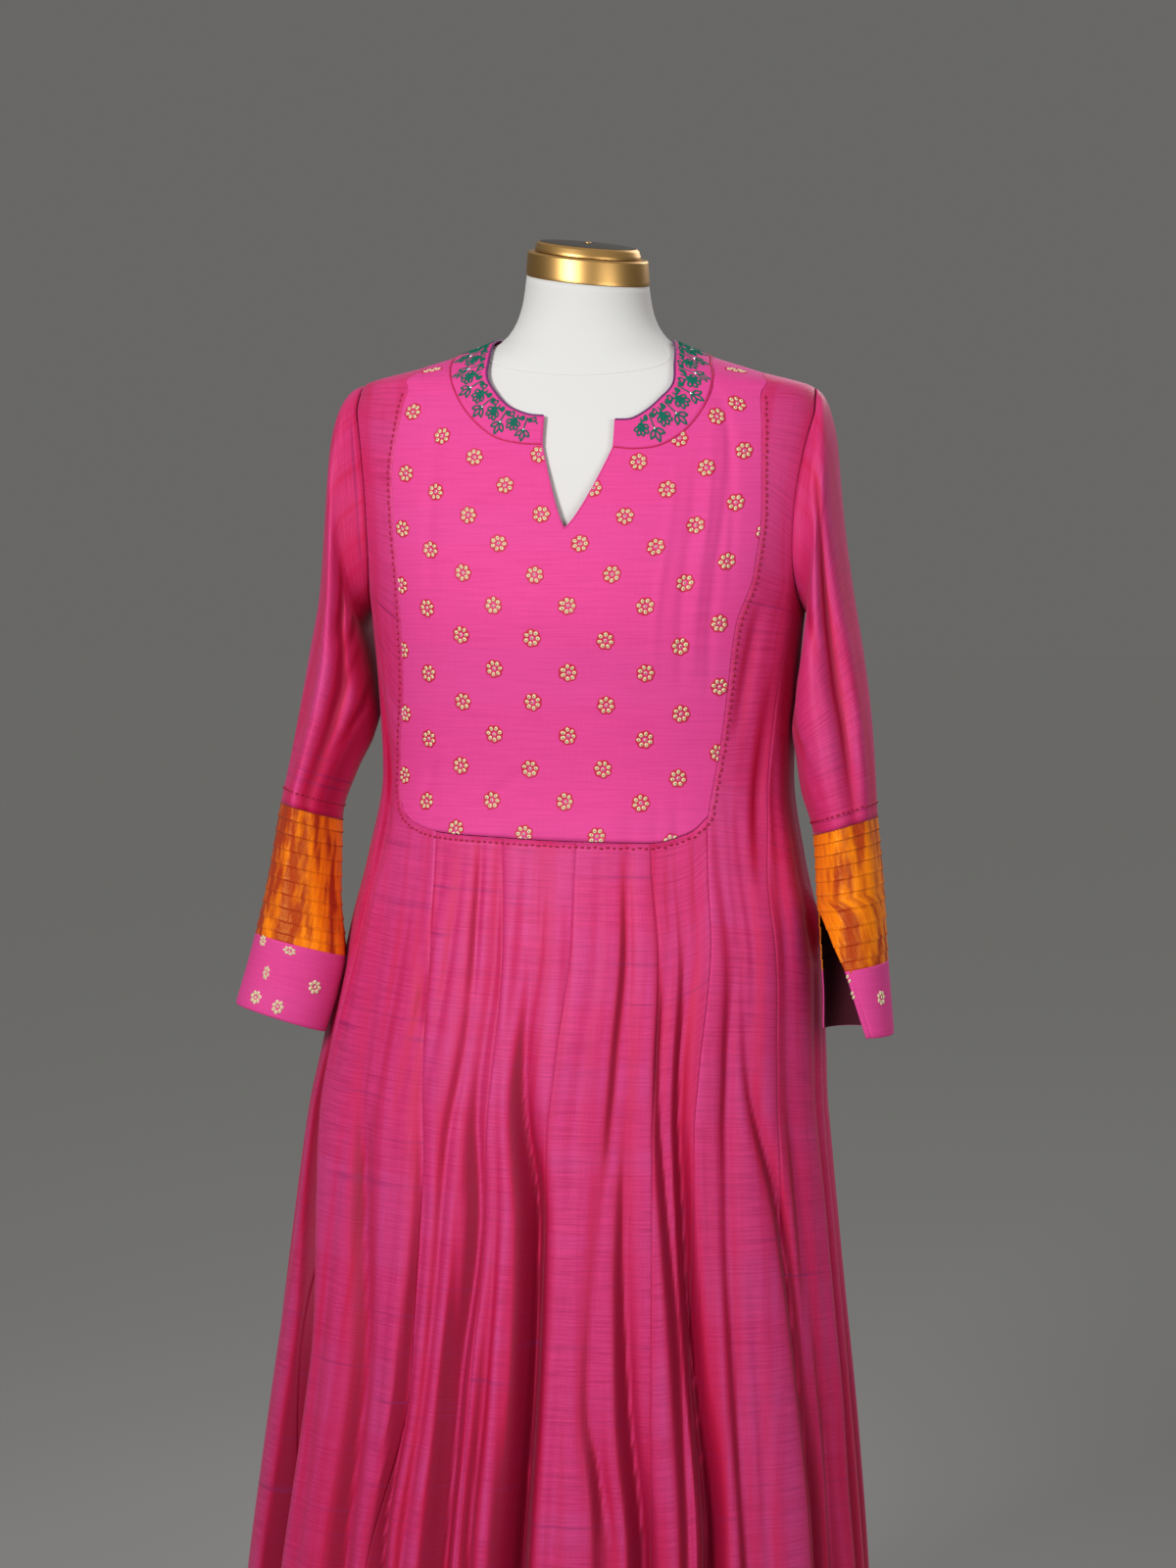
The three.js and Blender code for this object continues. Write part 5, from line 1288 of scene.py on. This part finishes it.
# The neckband's embroidery, in mm along the band and across it from the joined edge of a band 24 mm wide
BAND_NOMINAL, MOTIF_PITCH = 24.0, 22.0


def on_band(run, height, lift):
    share = np.interp(run, band_run, round_band)
    return band_point(share, height / BAND_NOMINAL, lift)


def sewn_line(path, half, high):
    """A low rounded thread along a flat path: three points across it, the middle one raised."""
    path = np.asarray(path, float)
    ahead = unit(np.gradient(path, axis=0))
    across = np.stack([-ahead[:, 1], ahead[:, 0]], axis=1)
    lines = [np.concatenate([path + across * k * half, np.full((len(path), 1), out)], axis=1)
             for k, out in ((-1, 0.05), (0, high), (1, 0.05))]
    faces, _ = grid_faces(len(path), 3, False)
    return np.stack(lines, axis=1).reshape(-1, 3), faces[:, ::-1]


def leaf(x, y, turn, length, width, pointed):
    """An outline from its stem end round the tip and back: an oval, or two sine arcs where it is
    pointed."""
    t = np.linspace(0, 2 * np.pi, 17)
    far = length * (1 - np.cos(t)) / 2
    side = width / 2 * (np.sin(np.pi * (1 - np.cos(t)) / 2) * np.sign(np.sin(t)) if pointed else np.sin(t))
    c, q = np.cos(turn), np.sin(turn)
    return np.stack([x + far * c - side * q, y + far * q + side * c], axis=1)


def ring_path(x, y, radius, start=0.0, share=1.0):
    t = start + np.linspace(0, 2 * np.pi * share, 11)
    return np.stack([x + radius * np.cos(t), y + radius * np.sin(t)], axis=1)


def motif():
    """Thread paths of one repeat: a knot of thread with fanning loops, curls and rings by the neck edge,
    and a bud on a stem with three leaves."""
    down = -np.pi / 2
    loops = ((-1.35, 6.0), (-0.62, 6.8), (0.02, 6.4), (0.66, 6.8), (1.3, 5.6))
    leaves = ((-1, -0.75, 7.2), (0, 0.03, 8.8), (1, 0.8, 7.2))
    paths = [leaf(0.3 * k, 15.2, down + turn, length, 3.1, False) for k, (turn, length) in enumerate(loops)]
    paths += [leaf(11 + 0.4 * k, 10.6, down + turn, length, 3.2, True) for k, turn, length in leaves]
    paths += [ring_path(x, y, radius) for radius in (1.5, 0.6) for x, y in ((7.2, 19.8), (14.4, 19.4))]
    paths.append([[11.6, 21.0], [11.4, 18.6], [11.1, 16.0], [11.0, 13.4], [11.0, 11.4]])
    paths += [ring_path(3.6, 20.4, 1.7, 2.6, 0.62), ring_path(18.4, 20.2, 1.7, -0.9, 0.62)]
    paths.append([[0.2, 16.5], [1.6, 18.6], [3.6, 19.0], [5.4, 18.4]])
    paths.append([[22.0, 16.5], [20.2, 18.6], [18.0, 18.7], [16.0, 18.2]])
    return paths


paths = motif()
threads = [sewn_line(path, 0.55, 0.7) for path in paths]
threads += [pad(0, 16.4, 6.4, 4.2, 0.3, 1.0, 12), pad(1.4, 14.9, 4.4, 2.6, -0.9, 1.1, 10),
            pad(-1.6, 14.9, 4.0, 2.2, 0.9, 1.0, 10)]
shadows = [sewn_line(path, 0.72, 0.14) for path in paths]
bead = [pad(11, 11.4, 2.0, 2.0, 0, 1.1, 12)]
count = int((band_run[-1] - 14) // MOTIF_PITCH)
starts = 7 + (band_run[-1] - 14 - (count - 1) * MOTIF_PITCH) / 2 + MOTIF_PITCH * np.arange(count) - 2
for name, parts, material in (
    ("neckband_embroidery", threads, GREEN),
    ("neckband_thread_shadow", shadows, SHADOW),
    ("neckband_mirrors", bead, MIRROR),
):
    local, faces = join(parts)
    run = (local[None, :, 0] + starts[:, None]).ravel()
    inside = (run > 1) & (run < band_run[-1] - 1)
    points = on_band(run, np.tile(local[:, 1], count), 0.95 + np.tile(local[:, 2], count))
    faces = (faces[None] + np.arange(count)[:, None, None] * len(local)).reshape(-1, 4)
    faces = faces[inside[faces].all(axis=1)]
    trims[name] = make_mesh(name, *compact(points, faces), material)


def tube(name, path, radius, material, sides=8):
    """A round cord along a path of points in mm, closed by a fan at each end."""
    ahead = unit(np.gradient(path, axis=0))
    side = unit(np.cross(ahead, [0.05, 0.02, 1.0]))
    over = np.cross(side, ahead)
    phi = np.linspace(0, 2 * np.pi, sides, endpoint=False)[None, :, None]
    rings = path[:, None] + radius * (np.cos(phi) * side[:, None] + np.sin(phi) * over[:, None])
    return capped(rings[:, ::-1], name, material)


seam_angle = np.linspace(-66, 62, 90)
seam_z = 1367 + 30 * np.abs(seam_angle / 64) ** 1.6
trims["form_seam"] = tube("form_seam", form_point(seam_angle, seam_z), 0.35, WHITE)
line = np.linspace(0, 1, 420)
trims["neck_piping"] = tube("neck_piping", band_point(line, 1.0, 0.15), 1.0, PLUM)
trims["neckband_seam"] = tube("neckband_seam", band_point(line, 0.0, 0.55), 0.42, CRIMSON)
for side, band in (("right", BAND_RIGHT), ("left", BAND_LEFT)):
    low = yoke_points(*slit_edge(band, np.linspace(0, 1, 40)), -0.2 * np.ones(40))
    high = band_point(0.0 if side == "left" else 1.0, np.linspace(0.05, 1, 12), 0.1)
    trims[f"slit_edge_{side}"] = tube(f"slit_edge_{side}", np.concatenate([low, high]), 0.85, PINK)

# Bare cream flowers on the cuffs. Columns: turn, row, share of the full size across and along the cuff.
CUFF_FLOWERS = {
    "right": [
        [56, 12.1, 0.62, 0.8], [95, 12.16, 0.9, 0.62], [72, 12.9, 0.5, 1], [134, 12.98, 1, 1],
        [66, 13.62, 0.9, 1], [97, 13.7, 0.85, 1], [236, 12.9, 1, 1], [262, 12.25, 1, 1], [266, 13.6, 1, 1],
        [300, 12.9, 1, 1], [330, 12.25, 1, 1], [334, 13.6, 1, 1],
    ],
    "left": [
        [37, 12.9, 0.85, 1], [332, 12.9, 1, 1], [300, 12.25, 1, 1], [304, 13.6, 1, 1], [268, 12.9, 1, 1],
        [236, 13.6, 1, 1], [238, 12.25, 1, 1],
    ],
}
# Beads on the edge of the left cuff's slit. Columns: turn, row.
EDGE_BEADS = [[94, 12.12], [91, 12.24], [88, 12.62], [86, 12.76]]


def on_cuff(side, turn, row, local):
    """Places near a turn and row of a sleeve, from local points in mm (round it, up it, out of it)."""
    round_rate = 4 / np.linalg.norm(sleeve(side, turn + 2, row) - sleeve(side, turn - 2, row))
    up_rate = 0.1 / np.linalg.norm(sleeve(side, turn, row - 0.05) - sleeve(side, turn, row + 0.05))
    hand = 1 if side == "left" else -1
    turns, rows = turn - hand * local[:, 0] * round_rate, row - local[:, 1] * up_rate
    inner, outer = sleeve(side, turns, rows, 0.0), sleeve(side, turns, rows, 1.0)
    return inner + (outer - inner) * (0.35 + local[:, 2])[:, None]


for side in ("right", "left"):
    sewn = []
    for number, (turn, row, wide, tall) in enumerate(CUFF_FLOWERS[side]):
        local, faces = flower(number * 2.3 + 0.7, 4.3, 4.1, 3.5)[0]
        sewn.append((on_cuff(side, turn, row, local * [wide, tall, 1]), faces))
    for turn, row in EDGE_BEADS if side == "left" else []:
        local, faces = pad(0, 0, 3.4, 2.2, 1.2, 1.2)
        sewn.append((on_cuff(side, turn, row, local), faces))
    trims[f"cuff_flowers_{side}"] = make_mesh(f"cuff_flowers_{side}", *join(sewn), CREAM)

# How each piece is cut. Columns: width, length and area of the flat piece in metres, what it hangs from.
CUTS = {
    "yoke_front": [0.400, 0.525, 0.1385, "form_torso"],
    "neckband": [0.687, 0.047, 0.0197, "form_torso"],
    "kali_front_1": [0.123, 0.849, 0.0676, "yoke_front"],
    "kali_front_2": [0.110, 0.842, 0.0669, "yoke_front"],
    "kali_front_3": [0.162, 0.840, 0.0919, "yoke_front"],
    "kali_front_4": [0.057, 0.859, 0.0407, "yoke_front"],
    "side_front_right": [0.152, 1.328, 0.1270, "form_torso"],
    "side_front_left": [0.144, 1.289, 0.1122, "form_torso"],
    "kali_side_front_right": [0.196, 1.054, 0.1194, "side_front_right"],
    "kali_side_front_left": [0.178, 1.049, 0.1163, "side_front_left"],
    "kali_side_back_left": [0.153, 1.050, 0.0992, "back_side_left"],
    "kali_side_back_right": [0.171, 1.055, 0.1066, "back_side_right"],
    "back_side_left": [0.149, 1.335, 0.1290, "form_torso"],
    "back_side_right": [0.127, 1.345, 0.1224, "form_torso"],
    "back_centre_left": [0.163, 1.275, 0.1674, "form_torso"],
    "back_centre_right": [0.164, 1.282, 0.1683, "form_torso"],
    "sleeve_right": [0.511, 0.378, 0.0891, "side_front_right"],
    "sleeve_band_right": [0.269, 0.127, 0.0315, "sleeve_right"],
    "cuff_right": [0.266, 0.068, 0.0170, "sleeve_band_right"],
    "sleeve_left": [0.499, 0.371, 0.0895, "side_front_left"],
    "sleeve_band_left": [0.263, 0.152, 0.0274, "sleeve_left"],
    "cuff_left": [0.169, 0.061, 0.0088, "sleeve_band_left"],
}
for name, piece in pieces.items():
    piece.name = f"{name}_cloth" if name in CUTS else f"{name}_shape"

for name, piece in pieces.items():
    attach(piece, "root")
    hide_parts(name)

for piece in trims.values():
    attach(piece, "root")

# Floor, light and camera
floor = bpy.data.objects.new("floor", bpy.data.meshes.new("floor"))
floor.data.from_pydata([(-40, -40, 0), (40, -40, 0), (40, 40, 0), (-40, 40, 0)], [], [(0, 1, 2, 3)])
floor.data.materials.append(new_material("pale floor", (0.36, 0.36, 0.355), 0.9))
bpy.context.scene.collection.objects.link(floor)

world = bpy.data.worlds.new("studio")
bpy.context.scene.world = world
world.use_nodes = True
tree = world.node_tree
sky = tree.nodes["Background"]
place = tree.nodes.new("ShaderNodeTexCoord")
split = tree.nodes.new("ShaderNodeSeparateXYZ")
rise = tree.nodes.new("ShaderNodeMapRange")
rise.inputs["From Min"].default_value = 0.22
rise.inputs["To Min"].default_value = 1.0
rise.inputs["To Max"].default_value = 3.8
tree.links.new(place.outputs["Generated"], split.inputs[0])
tree.links.new(split.outputs["Z"], rise.inputs["Value"])
tree.links.new(rise.outputs[0], sky.inputs[1])
sky.inputs[0].default_value = (0.138, 0.136, 0.132, 1)
bpy.context.scene.view_settings.view_transform = "Standard"


def area_light(name, place, target, size, power, spread=150):
    light = bpy.data.lights.new(name, "AREA")
    light.size = size
    light.energy = power
    light.spread = np.radians(spread)
    lamp = bpy.data.objects.new(name, light)
    lamp.location = place
    away = np.array(place, float) - np.array(target, float)
    yaw = np.arctan2(away[0], -away[1])
    pitch = np.arctan2(np.hypot(away[0], away[1]), away[2])
    lamp.rotation_euler = (pitch, 0, yaw)
    bpy.context.scene.collection.objects.link(lamp)


area_light("key", (-1.15, -2.6, 2.1), (0, 0, 1.15), 0.8, 17.5, 90)
area_light("fill", (1.9, -2.1, 1.4), (0, 0, 1.1), 1.2, 7, 90)
area_light("back", (0.9, 2.0, 2.5), (0, 0, 1.1), 1.2, 4.5, 90)

camera = bpy.data.objects.new("camera", bpy.data.cameras.new("camera"))
camera.data.lens = 68.83
camera.data.sensor_width = 36
azimuth, pitch = np.radians(10), np.radians(4)
camera.location = (2.6 * np.sin(azimuth), -2.6 * np.cos(azimuth), 1.2)
camera.rotation_euler = (np.pi / 2 - pitch, 0, azimuth)
bpy.context.scene.collection.objects.link(camera)
bpy.context.scene.camera = camera
